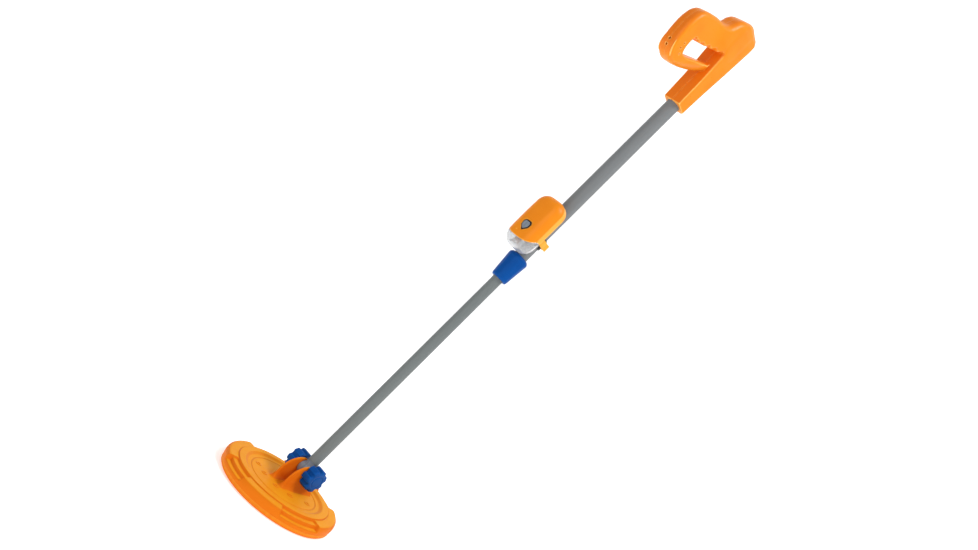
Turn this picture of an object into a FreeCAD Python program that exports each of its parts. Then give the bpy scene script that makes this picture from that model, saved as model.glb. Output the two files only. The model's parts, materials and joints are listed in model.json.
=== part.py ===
"""Telescopic metal detector with a tilting search coil, a twist-lock pole and a clip-on lamp.

Millimetres, +Z up. The origin is the centre of the coil's sole, which lies flat in the XY plane.
The hinge pin of the coil runs along Y. The pole leans from the hinge towards +X.

Parts on the pole are drawn in a pole frame and then placed: its Z runs up the pole from the hinge
pin, its Y is the pin's direction, and its -X is the side where the grip and the lamp stand.
"""
import FreeCAD, Part
import math
import os
import Sketcher

DIMENSIONS = {
    # where the pole stands on the coil
    "pivot_forward": 18.7, "pivot_height": 45.9, "pole_lean": 11.14,
    # search coil
    "coil_radius": 86.4, "seam_height": 6.5, "rim_height": 11.5, "rim_radius": 87.0,
    "lobe_radius": 86.3, "lobe_height": 16.4, "shoulder_radius": 83.5, "shoulder_height": 18.9,
    "lobe_inner_height": 19.4, "ring_height": 20.5, "ring_outer": 70.5, "ring_inner": 62.0, "ring_foot": 55.0,
    "hub_height": 18.0, "groove_width": 1.4, "lobe_groove_floor": 18.6, "ring_groove_radius": 50.6,
    "ring_groove_floor": 17.3, "coil_wall": 2.2, "cavity_radius": 81.6, "sole_radius": 85.8,
    "sole_edge": 84.8, "sole_bevel": 1.0, "sole_plate": 2.2, "sole_top": 6.3,
    "recess_floor": 16.6, "step_inner": 79.0, "step_floor": 12.0, "big_radius": 90.0,
    "transmit_inner": 71.0, "transmit_outer": 77.0, "transmit_height": 4.4,
    "receive_inner": 36.0, "receive_outer": 41.0, "receive_height": 4.4, "winding_floor": 2.3,
    "coil_screw_circle": 60.0, "coil_boss_radius": 4.0, "screw_radius": 1.4, "screw_head": 2.7,
    "screw_head_height": 1.8, "coil_screw_length": 11.0,
    # hinge
    "ear_inner": 8.5, "ear_outer": 11.5, "ear_foot_outer": 18.0, "pin_radius": 3.0, "pin_bore": 3.05,
    "foot_half_width": 7.4, "foot_round": 9.4, "foot_neck_radius": 7.9, "foot_plug_radius": 6.75,
    "foot_neck_length": 13.0, "foot_plug_end": 42.0, "foot_pin_height": 28.0, "foot_pin_radius": 1.5,
    "foot_pin_depth": 4.5,
    "washer_radius": 8.6, "washer_thick": 0.8,
    "knob_radius": 16.5, "knob_inner": 11.8, "knob_outer": 27.4, "knob_notch_radius": 3.0,
    "knob_notch_circle": 17.4, "knob_edge": 2.0,
    "bolt_end": 22.0, "bolt_head_start": 18.6, "bolt_head_end": 22.8, "bolt_head_flat": 5.0,
    "nut_start": 13.4, "nut_end": 18.4,
    # telescopic pole
    "lower_tube_radius": 8.0, "lower_tube_bore": 6.8, "lower_tube_start": 13.4, "lower_tube_end": 430.0,
    "upper_tube_radius": 10.5, "upper_tube_bore": 9.3, "upper_tube_start": 392.0, "upper_tube_end": 765.0,
    "bush_radius": 9.25, "bush_start": 413.5, "bush_end": 432.0,
    "collet_bore": 8.05, "collet_start": 361.0, "collet_nose": 10.0, "collet_shoulder": 11.0,
    "collet_flange": 11.5, "flange_start": 388.0, "spigot_radius": 9.3, "spigot_end": 412.0,
    "collet_slot": 1.2, "collet_slot_end": 382.0,
    "collar_start": 357.6, "collar_end": 400.0, "collar_mouth": 8.35, "collar_nose_radius": 11.0,
    "collar_small": 12.5, "collar_large": 15.8, "collar_nose_length": 3.0, "collar_bore_small": 11.4,
    "collar_bore_large": 11.9, "collar_tail_bore": 10.6, "collar_shoulder_radius": 13.2,
    "collar_shoulder_length": 3.4,
    # clip-on lamp, heights measured from the pole's axis towards the grip side
    "lamp_start": 399.0, "lamp_end": 486.0, "lamp_half_width": 23.5, "lamp_bottom": 17.8, "lamp_top": 43.8,
    "lamp_split": 30.0, "lamp_corner": 17.0, "lamp_edge": 9.0, "lamp_bottom_edge": 5.0, "lamp_wall": 2.0,
    "joint_top": 410.0, "joint_back": 424.5, "joint_knee": 28.0, "lens_wall": 1.6,
    "clip_start": 428.0, "clip_length": 10.0, "clip_bore": 12.05, "clip_radius": 14.6, "clip_neck": 16.0,
    "liner_start": 424.0, "liner_length": 16.0, "liner_bore": 10.55, "liner_radius": 12.0,
    "clip_mouth_half": 9.0,
    "button_at": 429.7, "bezel_half_width": 7.2, "bezel_half_length": 8.2, "button_half_width": 5.2,
    "button_half_length": 6.2, "button_gap": 0.35, "button_proud": 1.6, "button_depth": 5.0,
    "reflector_start": 403.0, "reflector_end": 419.0, "reflector_mouth": 9.0, "reflector_throat": 4.0,
    "reflector_height": 30.0, "led_radius": 2.5, "led_length": 8.0,
    "cell_radius": 5.2, "cell_length": 44.0, "cell_start": 428.0, "cell_height": 25.2, "cell_pitch": 10.5,
    "lamp_board_thick": 1.6, "lamp_board_height": 32.4, "lamp_board_start": 421.0, "lamp_board_end": 470.0,
    "lamp_board_half": 15.5, "tact_half": 3.0, "tact_height": 3.2, "contact_thick": 0.6,
    "lamp_screw_length": 16.0, "lamp_screw_radius": 1.1, "lamp_screw_head": 2.0, "lamp_post_radius": 2.8,
    "lamp_post_side": 18.8, "lamp_post_front": 433.0, "lamp_post_back": 468.0,
    # handle
    "section_step": 12.0, "handle_half": 12.5, "handle_round": 5.5, "shell_wall": 2.2,
    "handle_screw_length": 13.0, "handle_boss": 3.6, "counterbore_floor": 6.0,
    "tube_pin_at": 752.0, "tube_pin_radius": 1.6, "tube_pin_half": 12.0,
    "battery_start": 788.0, "battery_length": 46.0, "battery_half_width": 13.0, "battery_half_thick": 8.5,
    "battery_drop": -6.0, "snap_thick": 3.0,
    "door_start": 784.0, "door_end": 836.0, "door_half": 13.5, "door_thick": 2.0, "door_gap": 0.3,
    "buzzer_radius": 8.0, "buzzer_thick": 6.0, "buzzer_along": 735.0, "buzzer_up": 101.0,
    "board_thick": 1.6, "board_half_long": 21.0, "board_half_wide": 7.0, "board_along": 790.0,
    "board_up": 62.0, "board_lean": 26.0,
    "switch_along": 806.0, "switch_up": 8.0, "switch_half_long": 5.0, "switch_half_wide": 3.0,
    "slider_half_long": 2.6, "slider_half_wide": 2.0, "slider_travel": 4.0,
}

doc = FreeCAD.newDocument("metal_detector")
sheet = doc.addObject("Spreadsheet::Sheet", "Dimensions")
for row, (alias, number) in enumerate(DIMENSIONS.items(), start=1):
    sheet.set(f"A{row}", alias)
    sheet.set(f"B{row}", str(number))
    sheet.setAlias(f"B{row}", alias)
doc.recompute()

Vector = FreeCAD.Vector
Placement = FreeCAD.Placement
Rotation = FreeCAD.Rotation
X_AXIS = Vector(1, 0, 0)
Y_AXIS = Vector(0, 1, 0)
Z_AXIS = Vector(0, 0, 1)
parts = {}


def size(text):
    """The value of a sum such as "lamp_end - lamp_start", read from the sheet, left to right."""
    words = text.split()
    total = 0.0
    sign = 1.0
    for word in words:
        if word in "+-":
            sign = 1.0 if word == "+" else -1.0
        else:
            total += sign * (sheet.get(word) if word in DIMENSIONS else float(word))
    return total


def formula(text):
    """The same sum as an expression that refers to the sheet's cells."""
    return " ".join(f"Dimensions.{word}" if word in DIMENSIONS else word for word in text.split())


def bind(thing, **properties):
    """Tie each named property of a document object to a sum of sheet cells."""
    for name, text in properties.items():
        thing.setExpression(name, formula(text))


def pole_place(along=0.0, up=0.0, side=0.0, turn=Rotation()):
    """A placement in the pole frame: along the pole, up from its axis on the grip side, to one side."""
    pivot = Vector(size("pivot_forward"), 0, size("pivot_height"))
    pole = Placement(pivot, Rotation(Y_AXIS, size("pole_lean")))
    return pole * Placement(Vector(-up, side, along), turn)


def local(along=0.0, up=0.0, side=0.0, turn=Rotation()):
    """The same place inside the pole frame, before the whole part is put on the pole."""
    return Placement(Vector(-up, side, along), turn)


def keep(thing, label, place=None):
    """Register a finished sub-part under the name its file gets, and put it in its place."""
    thing.Label = label
    if place is not None:
        thing.Placement = place
    parts[label] = thing
    return thing


def new(kind, name):
    return doc.addObject(kind, name)


def cylinder(name, radius, height, place=Placement()):
    """A Part cylinder bound to the sheet, standing on its own place along that place's Z."""
    thing = new("Part::Cylinder", name)
    bind(thing, Radius=radius, Height=height)
    thing.Placement = place
    return thing


def block(name, along_x, along_y, along_z, place=Placement()):
    """A Part box bound to the sheet, with one corner on its place."""
    thing = new("Part::Box", name)
    bind(thing, Length=along_x, Width=along_y, Height=along_z)
    thing.Placement = place
    return thing


def cut(name, base, tool):
    thing = new("Part::Cut", name)
    thing.Base = base
    thing.Tool = tool
    return thing


def fuse(name, things):
    thing = new("Part::MultiFuse", name)
    thing.Shapes = things
    return thing


def common(name, things):
    thing = new("Part::MultiCommon", name)
    thing.Shapes = things
    return thing


def group(name, things):
    """Several separate solids kept as one sub-part."""
    thing = new("Part::Compound", name)
    thing.Links = things
    return thing


def feature(name, shape):
    """A shape worked out with Part's own functions."""
    thing = new("Part::Feature", name)
    thing.Shape = shape
    return thing


def origin_plane(body, role):
    return [item for item in body.Origin.OriginFeatures if item.Role == role][0]


def draw(body, name, corners, plane="XZ_Plane"):
    """A closed outline in a body's own plane, each corner held by sums of sheet cells."""
    sketch = body.newObject("Sketcher::SketchObject", name)
    sketch.AttachmentSupport = (origin_plane(body, plane), "")
    sketch.MapMode = "FlatFace"
    points = [Vector(size(across), size(above), 0) for across, above in corners]
    count = len(points)
    for index in range(count):
        sketch.addGeometry(Part.LineSegment(points[index], points[(index + 1) % count]), False)
    for index in range(count):
        sketch.addConstraint(Sketcher.Constraint("Coincident", index, 2, (index + 1) % count, 1))
    for index, (across, above) in enumerate(corners):
        for kind, text, axis in (("DistanceX", across, -2), ("DistanceY", above, -1)):
            if size(text) == 0:
                sketch.addConstraint(Sketcher.Constraint("PointOnObject", index, 1, axis))
                continue
            held = sketch.addConstraint(Sketcher.Constraint(kind, -1, 1, index, 1, size(text)))
            sketch.setExpression(f"Constraints[{held}]", formula(text))
    return sketch


def turned(name, corners):
    """A body turned about its own Z axis from an outline of (radius, height) corners."""
    body = new("PartDesign::Body", name)
    sketch = draw(body, name + "_outline", corners)
    turn = body.newObject("PartDesign::Revolution", name + "_turn")
    turn.Profile = sketch
    turn.ReferenceAxis = (sketch, ["V_Axis"])
    turn.Angle = 360
    body.Tip = turn
    return body


def ring(name, inner, outer, bottom, top):
    return turned(name, [(inner, bottom), (outer, bottom), (outer, top), (inner, top)])


# ---------------------------------------------------------------- search coil

def make_coil_base():
    """The sole: a flat plate with a low rim, closed by six screws from below."""
    plate = turned("coil_base_blank", [
        ("0", "0"), ("sole_edge - sole_bevel", "0"), ("sole_edge", "sole_bevel"),
        ("sole_radius", "sole_bevel + sole_bevel"), ("sole_radius", "sole_top"),
        ("cavity_radius", "sole_top"), ("cavity_radius", "sole_plate"), ("0", "sole_plate")])
    tools = []
    for index, place in enumerate(coil_screw_places()):
        tools.append(cylinder(f"base_hole_{index}", "screw_radius + 0.2", "sole_plate", place))
        tools.append(cylinder(f"base_sink_{index}", "screw_head + 0.2", "screw_head_height - 0.6", place))
    holes = fuse("base_holes", tools)
    keep(cut("coil_base_cut", plate, holes), "coil_base")


def coil_screw_places():
    places = []
    for index in range(6):
        angle = math.radians(30 + 60 * index)
        circle = size("coil_screw_circle")
        places.append(Placement(Vector(circle * math.cos(angle), circle * math.sin(angle), 0), Rotation()))
    return places


# the four recesses in the rim, as the angles where they begin and end, from +X towards +Y
RECESS_SPANS = [(154.0, 186.0), (-130.0, -88.0), (-26.0, 6.0), (50.0, 92.0)]


def sector(name, inner, floor, begin, finish):
    """One recess tool: a wedge of a ring, open upwards and outwards."""
    near = size(inner)
    far = size("big_radius")
    start = math.radians(begin)
    span = math.radians(finish - begin)
    points = []
    for radius, angle in ((near, start), (far, start - 0.05), (far, start + span + 0.05), (near, start + span)):
        points.append(Vector(radius * math.cos(angle), radius * math.sin(angle), size(floor)))
    middle_angle = start + span / 2
    inner_middle = Vector(near * math.cos(middle_angle), near * math.sin(middle_angle), size(floor))
    outer_middle = Vector(far * math.cos(middle_angle), far * math.sin(middle_angle), size(floor))
    edges = [Part.LineSegment(points[0], points[1]).toShape(),
             Part.Arc(points[1], outer_middle, points[2]).toShape(),
             Part.LineSegment(points[2], points[3]).toShape(),
             Part.Arc(points[3], inner_middle, points[0]).toShape()]
    face = Part.Face(Part.Wire(edges))
    return feature(name, face.extrude(Vector(0, 0, size("ring_height"))))


def ear(name, side):
    """One hinge ear: a fin that stands on the hub, thin at the pin and wide at its foot."""
    floor = size("hub_height") - 1.0
    pivot = Vector(size("pivot_forward"), 0, size("pivot_height"))
    outline = [(-34.5, floor), (-33.0, 30.0), (-28.5, 42.5), (-21.0, 50.5), (-11.0, 55.3), (0.0, 56.3),
               (10.5, 51.5), (17.0, 41.0), (21.0, 29.0), (23.5, floor)]
    points = [Vector(pivot.x + across, 0, height) for across, height in outline]
    curve = Part.BSplineCurve()
    curve.interpolate(points[:])
    edges = [curve.toShape(), Part.LineSegment(points[-1], points[0]).toShape()]
    fin = Part.Face(Part.Wire(edges)).extrude(Vector(0, side * size("ear_foot_outer"), 0))
    inner = size("ear_inner")
    outer = size("ear_outer")
    foot = size("ear_foot_outer")
    top = size("pivot_height")
    section = [(inner, floor - 2), (foot + 1, floor - 2), (foot - 2, floor + 6), (outer + 0.6, top - 17),
               (outer, top - 14), (outer, top + 14), (inner, top + 14)]
    wall_points = [Vector(-60, side * across, height) for across, height in section]
    wall = Part.Face(Part.makePolygon(wall_points + wall_points[:1])).extrude(Vector(160, 0, 0))
    return feature(name, fin.common(wall))


def make_coil_housing():
    """The upper shell: a stepped disc with four raised lobes, a hub ring and the two hinge ears."""
    disc = turned("housing_disc", [
        ("0", "seam_height"), ("coil_radius", "seam_height"), ("rim_radius", "rim_height"),
        ("lobe_radius", "lobe_height"), ("shoulder_radius", "shoulder_height"),
        ("ring_outer + groove_width", "lobe_inner_height"),
        ("ring_outer + groove_width", "lobe_groove_floor"), ("ring_outer", "lobe_groove_floor"),
        ("ring_outer", "ring_height"), ("ring_inner", "ring_height"), ("ring_foot", "hub_height"),
        ("ring_groove_radius + 0.8", "hub_height"), ("ring_groove_radius + 0.6", "ring_groove_floor"),
        ("ring_groove_radius - 0.6", "ring_groove_floor"), ("ring_groove_radius - 0.8", "hub_height"),
        ("0", "hub_height")])
    cavity = turned("housing_cavity", [
        ("0", "seam_height - 1"), ("cavity_radius", "seam_height - 1"),
        ("cavity_radius", "step_floor - coil_wall"), ("step_inner - coil_wall", "step_floor - coil_wall"),
        ("step_inner - coil_wall", "recess_floor - coil_wall"),
        ("ring_outer - coil_wall", "recess_floor - coil_wall"),
        ("ring_outer - coil_wall", "ring_height - coil_wall"), ("ring_inner", "ring_height - coil_wall"),
        ("ring_foot", "ring_groove_floor - coil_wall"), ("0", "ring_groove_floor - coil_wall")])
    hollow = cut("housing_hollow", disc, cavity)
    recesses = []
    for index, (begin, finish) in enumerate(RECESS_SPANS):
        recesses.append(sector(f"recess_{index}", "ring_outer + groove_width", "recess_floor", begin, finish))
        recesses.append(sector(f"step_{index}", "step_inner", "step_floor", begin, finish))
    stepped = cut("housing_stepped", hollow, fuse("housing_recesses", recesses))
    bosses = []
    pilots = []
    for index, place in enumerate(coil_screw_places()):
        base = Placement(place.Base + Vector(0, 0, size("sole_plate")), Rotation())
        bosses.append(cylinder(f"coil_boss_{index}", "coil_boss_radius", "hub_height - sole_plate - 0.1", base))
        pilots.append(cylinder(f"coil_pilot_{index}", "screw_radius", "coil_screw_length", place))
    ears = [ear("ear_near", -1), ear("ear_far", 1)]
    solid = fuse("housing_solid", [stepped] + bosses + ears)
    pivot = Vector(size("pivot_forward"), -size("ear_foot_outer"), size("pivot_height"))
    across = Placement(pivot, Rotation(X_AXIS, -90))
    bore = cylinder("ear_bore", "pin_bore", "ear_foot_outer + ear_foot_outer", across)
    keep(cut("housing_drilled", solid, fuse("housing_bores", pilots + [bore])), "coil_housing")


def make_coil_inside():
    keep(ring("transmit_ring", "transmit_inner", "transmit_outer", "winding_floor",
              "winding_floor + transmit_height"), "transmit_winding")
    keep(ring("receive_ring", "receive_inner", "receive_outer", "winding_floor",
              "winding_floor + receive_height"), "receive_winding")
    screws = []
    for index, place in enumerate(coil_screw_places()):
        lift = Placement(place.Base + Vector(0, 0, 0.3), Rotation())
        head = cylinder(f"coil_screw_head_{index}", "screw_head", "screw_head_height - 1.0", lift)
        shank = cylinder(f"coil_screw_shank_{index}", "screw_radius", "coil_screw_length - 0.5", lift)
        screws.append(fuse(f"coil_screw_{index}", [head, shank]))
    keep(group("coil_screw_group", screws), "coil_screws")


# ---------------------------------------------------------------- hinge

def pin_place(start, up_the_pole=0.0):
    """A place on the hinge pin's line, looking along +Y, in the coil's own frame."""
    pivot = Vector(size("pivot_forward"), start, size("pivot_height") + up_the_pole)
    return Placement(pivot, Rotation(X_AXIS, -90))


def hexagon(name, flat, start, end):
    """A six-sided bar on the pin's line."""
    bar = new("Part::Prism", name)
    bar.Polygon = 6
    bind(bar, Circumradius=flat, Height=end + " - " + start)
    return bar


def make_hinge():
    # the bolt is moulded into the near knob, its hexagon head inside the knob
    shank = cylinder("bolt_shank", "pin_radius", "bolt_head_start + bolt_end",
                     pin_place(-size("bolt_head_start")))
    head = hexagon("bolt_head", "bolt_head_flat", "bolt_head_start", "bolt_head_end")
    head.Placement = pin_place(-size("bolt_head_end"))
    keep(fuse("bolt", [shank, head]), "hinge_bolt")
    nut = hexagon("nut_bar", "bolt_head_flat", "nut_start", "nut_end")
    nut.Placement = pin_place(size("nut_start"))
    nut_bore = cylinder("nut_bore", "pin_bore", "nut_end", pin_place(size("nut_start") - 2.0))
    keep(cut("nut", nut, nut_bore), "hinge_nut")
    for label, side in (("knob_near", -1), ("knob_far", 1)):
        make_knob(label, side)
    washers = []
    for side in (-1, 1):
        start = size("foot_half_width") if side > 0 else -size("foot_half_width") - size("washer_thick")
        disc = cylinder(f"washer_disc_{side + 1}", "washer_radius", "washer_thick", pin_place(start))
        hole = cylinder(f"washer_hole_{side + 1}", "pin_bore + 0.15", "washer_thick", pin_place(start))
        washers.append(cut(f"washer_{side + 1}", disc, hole))
    keep(group("washers", washers), "friction_washers")


def make_knob(label, side):
    """A clamping knob with seven finger scallops."""
    body = new("PartDesign::Body", label + "_body")
    sketch = body.newObject("Sketcher::SketchObject", label + "_circle")
    sketch.AttachmentSupport = (origin_plane(body, "XY_Plane"), "")
    sketch.MapMode = "FlatFace"
    sketch.addGeometry(Part.Circle(Vector(), Z_AXIS, size("knob_radius")), False)
    sketch.addConstraint(Sketcher.Constraint("Coincident", 0, 3, -1, 1))
    held = sketch.addConstraint(Sketcher.Constraint("Radius", 0, size("knob_radius")))
    sketch.setExpression(f"Constraints[{held}]", formula("knob_radius"))
    pad = body.newObject("PartDesign::Pad", label + "_pad")
    pad.Profile = sketch
    bind(pad, Length="knob_outer - knob_inner")
    doc.recompute()
    edge = body.newObject("PartDesign::Fillet", label + "_edge")
    rim = [f"Edge{i + 1}" for i, e in enumerate(pad.Shape.Edges) if e.Curve.TypeId == "Part::GeomCircle"]
    edge.Base = (pad, rim)
    bind(edge, Radius="knob_edge")
    body.Tip = edge
    doc.recompute()
    notch = body.newObject("Sketcher::SketchObject", label + "_notch_outline")
    notch.AttachmentSupport = (origin_plane(body, "XY_Plane"), "")
    notch.MapMode = "FlatFace"
    notch_centre = Vector(size("knob_notch_circle"), 0, 0)
    notch.addGeometry(Part.Circle(notch_centre, Z_AXIS, size("knob_notch_radius")), False)
    notch.addConstraint(Sketcher.Constraint("PointOnObject", 0, 3, -1))
    place = notch.addConstraint(Sketcher.Constraint("DistanceX", -1, 1, 0, 3, size("knob_notch_circle")))
    width = notch.addConstraint(Sketcher.Constraint("Radius", 0, size("knob_notch_radius")))
    notch.setExpression(f"Constraints[{place}]", formula("knob_notch_circle"))
    notch.setExpression(f"Constraints[{width}]", formula("knob_notch_radius"))
    pocket = body.newObject("PartDesign::Pocket", label + "_notch")
    pocket.Profile = notch
    pocket.Type = 1
    pocket.Reversed = True
    doc.recompute()
    pattern = body.newObject("PartDesign::PolarPattern", label + "_notches")
    pattern.Originals = [pocket]
    pattern.Axis = (notch, ["N_Axis"])
    pattern.Angle = 360
    pattern.Occurrences = 7
    body.Tip = pattern
    doc.recompute()
    if side > 0:
        body.Placement = pin_place(size("knob_inner"))
        inside = cylinder("far_knob_bore", "pin_bore", "bolt_end + 1 - knob_inner",
                          pin_place(size("knob_inner")))
        seat = hexagon("far_knob_seat", "bolt_head_flat", "knob_inner", "nut_end")
        seat.Placement = pin_place(size("knob_inner"))
        keep(cut(label + "_cut", body, fuse("far_knob_inside", [inside, seat])), label)
    else:
        body.Placement = pin_place(-size("knob_outer"))
        keep(cut(label + "_cut", body, parts["hinge_bolt"]), label)


def make_foot():
    """The plug that closes the lower tube and turns on the hinge pin, with its cross pin."""
    across = Placement(Vector(0, -size("foot_half_width"), 0), Rotation(X_AXIS, -90))
    eye = cylinder("foot_eye", "foot_round", "foot_half_width + foot_half_width", across)
    neck = cylinder("foot_neck", "foot_neck_radius", "foot_neck_length")
    slab = block("foot_slab", "foot_round + foot_round", "foot_half_width + foot_half_width",
                 "foot_neck_length", Placement(Vector(-size("foot_round"), -size("foot_half_width"), 0), Rotation()))
    flat_neck = common("foot_flat_neck", [neck, slab])
    plug = cylinder("foot_plug", "foot_plug_radius", "foot_plug_end - foot_neck_length + 1",
                    local(size("foot_neck_length") - 1))
    solid = fuse("foot_solid", [eye, flat_neck, plug])
    bore = cylinder("foot_bore", "pin_bore", "foot_half_width + foot_half_width", across)
    cross = Placement(Vector(-size("foot_pin_depth"), 0, size("foot_pin_height")), Rotation(Y_AXIS, 90))
    hole = cylinder("foot_cross_hole", "foot_pin_radius", "lower_tube_radius + foot_pin_depth", cross)
    keep(cut("foot", solid, fuse("foot_holes", [bore, hole])), "pole_foot", pole_place())
    pin = cylinder("cross_pin", "foot_pin_radius", "lower_tube_radius + foot_pin_depth - 0.3", cross)
    keep(group("cross_pin_group", [pin]), "foot_pin", pole_place())


# ---------------------------------------------------------------- telescopic pole

def make_pole():
    lower = ring("lower_tube_body", "lower_tube_bore", "lower_tube_radius",
                 "lower_tube_start", "lower_tube_end")
    cross = Placement(Vector(-size("foot_pin_depth"), 0, size("foot_pin_height")), Rotation(Y_AXIS, 90))
    hole = cylinder("lower_cross_hole", "foot_pin_radius", "lower_tube_radius + foot_pin_depth + 1", cross)
    keep(cut("lower_tube_drilled", lower, hole), "lower_tube", pole_place())
    upper = ring("upper_tube_body", "upper_tube_bore", "upper_tube_radius",
                 "upper_tube_start", "upper_tube_end")
    through = Placement(Vector(0, -size("tube_pin_half"), size("tube_pin_at")), Rotation(X_AXIS, -90))
    pin_hole = cylinder("upper_cross_hole", "tube_pin_radius", "tube_pin_half + tube_pin_half", through)
    keep(cut("upper_tube_drilled", upper, pin_hole), "upper_tube", pole_place())
    keep(turned("bush_body", [
        ("lower_tube_radius", "bush_start"), ("bush_radius", "bush_start"), ("bush_radius", "bush_end"),
        ("lower_tube_bore", "bush_end"), ("lower_tube_bore", "lower_tube_end"),
        ("lower_tube_radius", "lower_tube_end")]), "tube_bush", pole_place())
    collet = turned("collet_body", [
        ("collet_bore", "collet_start"), ("collet_nose", "collet_start"),
        ("collet_shoulder", "collet_start + collet_nose"), ("collet_shoulder", "flange_start"),
        ("collet_flange", "flange_start"), ("collet_flange", "upper_tube_start"),
        ("spigot_radius", "upper_tube_start"), ("spigot_radius", "spigot_end"), ("collet_bore", "spigot_end")])
    slots = []
    for index in range(2):
        turn = Rotation(Z_AXIS, 90 * index + 45)
        corner = Placement(Vector(), turn) * Placement(
            Vector(-size("collar_large"), -size("collet_slot") / 2, size("collet_start")), Rotation())
        slots.append(block(f"collet_slot_{index}", "collar_large + collar_large", "collet_slot",
                           "collet_slot_end - collet_start", corner))
    keep(cut("collet_cut", collet, fuse("collet_slots", slots)), "collet", pole_place())
    keep(turned("collar_body", [
        ("collar_mouth", "collar_start"), ("collar_nose_radius", "collar_start"),
        ("collar_small", "collar_start + collar_nose_length"),
        ("collar_large", "collar_end - collar_shoulder_length"),
        ("collar_shoulder_radius", "collar_end"), ("collar_tail_bore", "collar_end"),
        ("collar_tail_bore", "upper_tube_start + 0.4"), ("collar_bore_large", "upper_tube_start + 0.4"),
        ("collar_bore_large", "flange_start - 1"), ("collar_bore_small", "collet_start + collet_nose"),
        ("collet_nose + 0.4", "collet_start - 0.4"), ("collar_mouth", "collet_start - 0.4")]),
        "lock_collar", pole_place())


# ---------------------------------------------------------------- clip-on lamp

def lamp_block(grow):
    """The lamp's soft outer block, or the same shape drawn inwards by a wall."""
    start = size("lamp_start") + grow
    end = size("lamp_end") - grow
    half = size("lamp_half_width") - grow
    bottom = size("lamp_bottom") + grow
    top = size("lamp_top") - grow
    solid = Part.makeBox(top - bottom, 2 * half, end - start, Vector(-top, -half, start))
    upright = [edge for edge in solid.Edges if abs(edge.tangentAt(edge.FirstParameter).x) > 0.99]
    solid = solid.makeFillet(size("lamp_corner") - grow, upright)
    top_edges = [edge for edge in solid.Edges if edge.BoundBox.XMax < -top + 0.01]
    solid = solid.makeFillet(size("lamp_edge") - grow / 2, top_edges)
    low_edges = [edge for edge in solid.Edges if edge.BoundBox.XMin > -bottom - 0.01]
    return solid.makeFillet(size("lamp_bottom_edge") - grow / 2, low_edges)


def lens_side(shift=0.0, reach=60.0):
    """The space in front of the sloping joint between the lens and the body."""
    back = size("joint_back") + shift
    top = size("joint_top") + shift
    corners = [(380.0, -reach), (back, -reach), (back, size("joint_knee")), (top, size("lamp_top")),
               (top, 2 * reach), (380.0, 2 * reach)]
    return polygon_slab(corners, reach)


def split_side(above):
    """The half of space above or below the joint between the lamp's cover and base."""
    height = size("lamp_split")
    low = -200.0 if above else -height
    return Part.makeBox(200.0 - height if above else 200.0 + height, 200, 200, Vector(low, -100, 350))


def shield(half_width, half_length, top, bottom):
    """The button's outline, square towards the handle and pointed towards the coil."""
    centre = size("button_at")
    corners = [(centre + half_length, -0.62 * half_width), (centre + half_length, 0.62 * half_width),
               (centre + 0.55 * half_length, half_width), (centre - 0.2 * half_length, 0.86 * half_width),
               (centre - half_length, 0.0), (centre - 0.2 * half_length, -0.86 * half_width),
               (centre + 0.55 * half_length, -half_width)]
    points = [Vector(-bottom, across, along) for along, across in corners]
    face = Part.Face(Part.makePolygon(points + points[:1]))
    solid = face.extrude(Vector(-(top - bottom), 0, 0))
    upright = [edge for edge in solid.Edges if abs(edge.tangentAt(edge.FirstParameter).x) > 0.99]
    return solid.makeFillet(0.22 * half_width, upright)


def lamp_screw_spots():
    return [(along, side) for along in (size("lamp_post_front"), size("lamp_post_back"))
            for side in (-size("lamp_post_side"), size("lamp_post_side"))]


def post(along, side, radius, low, high):
    return Part.makeCylinder(radius, high - low, Vector(-high, side, along), X_AXIS)


def clip_lip(side):
    """A flared lip at one end of the clip, which lets it snap over the tube."""
    corners = [(4.2, 11.6), (3.4, 13.6), (8.6, 16.6), (9.6, 14.9)]
    points = [Vector(away, side * wide, size("clip_start")) for away, wide in corners]
    return Part.Face(Part.makePolygon(points + points[:1])).extrude(Vector(0, 0, size("clip_length")))


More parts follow.
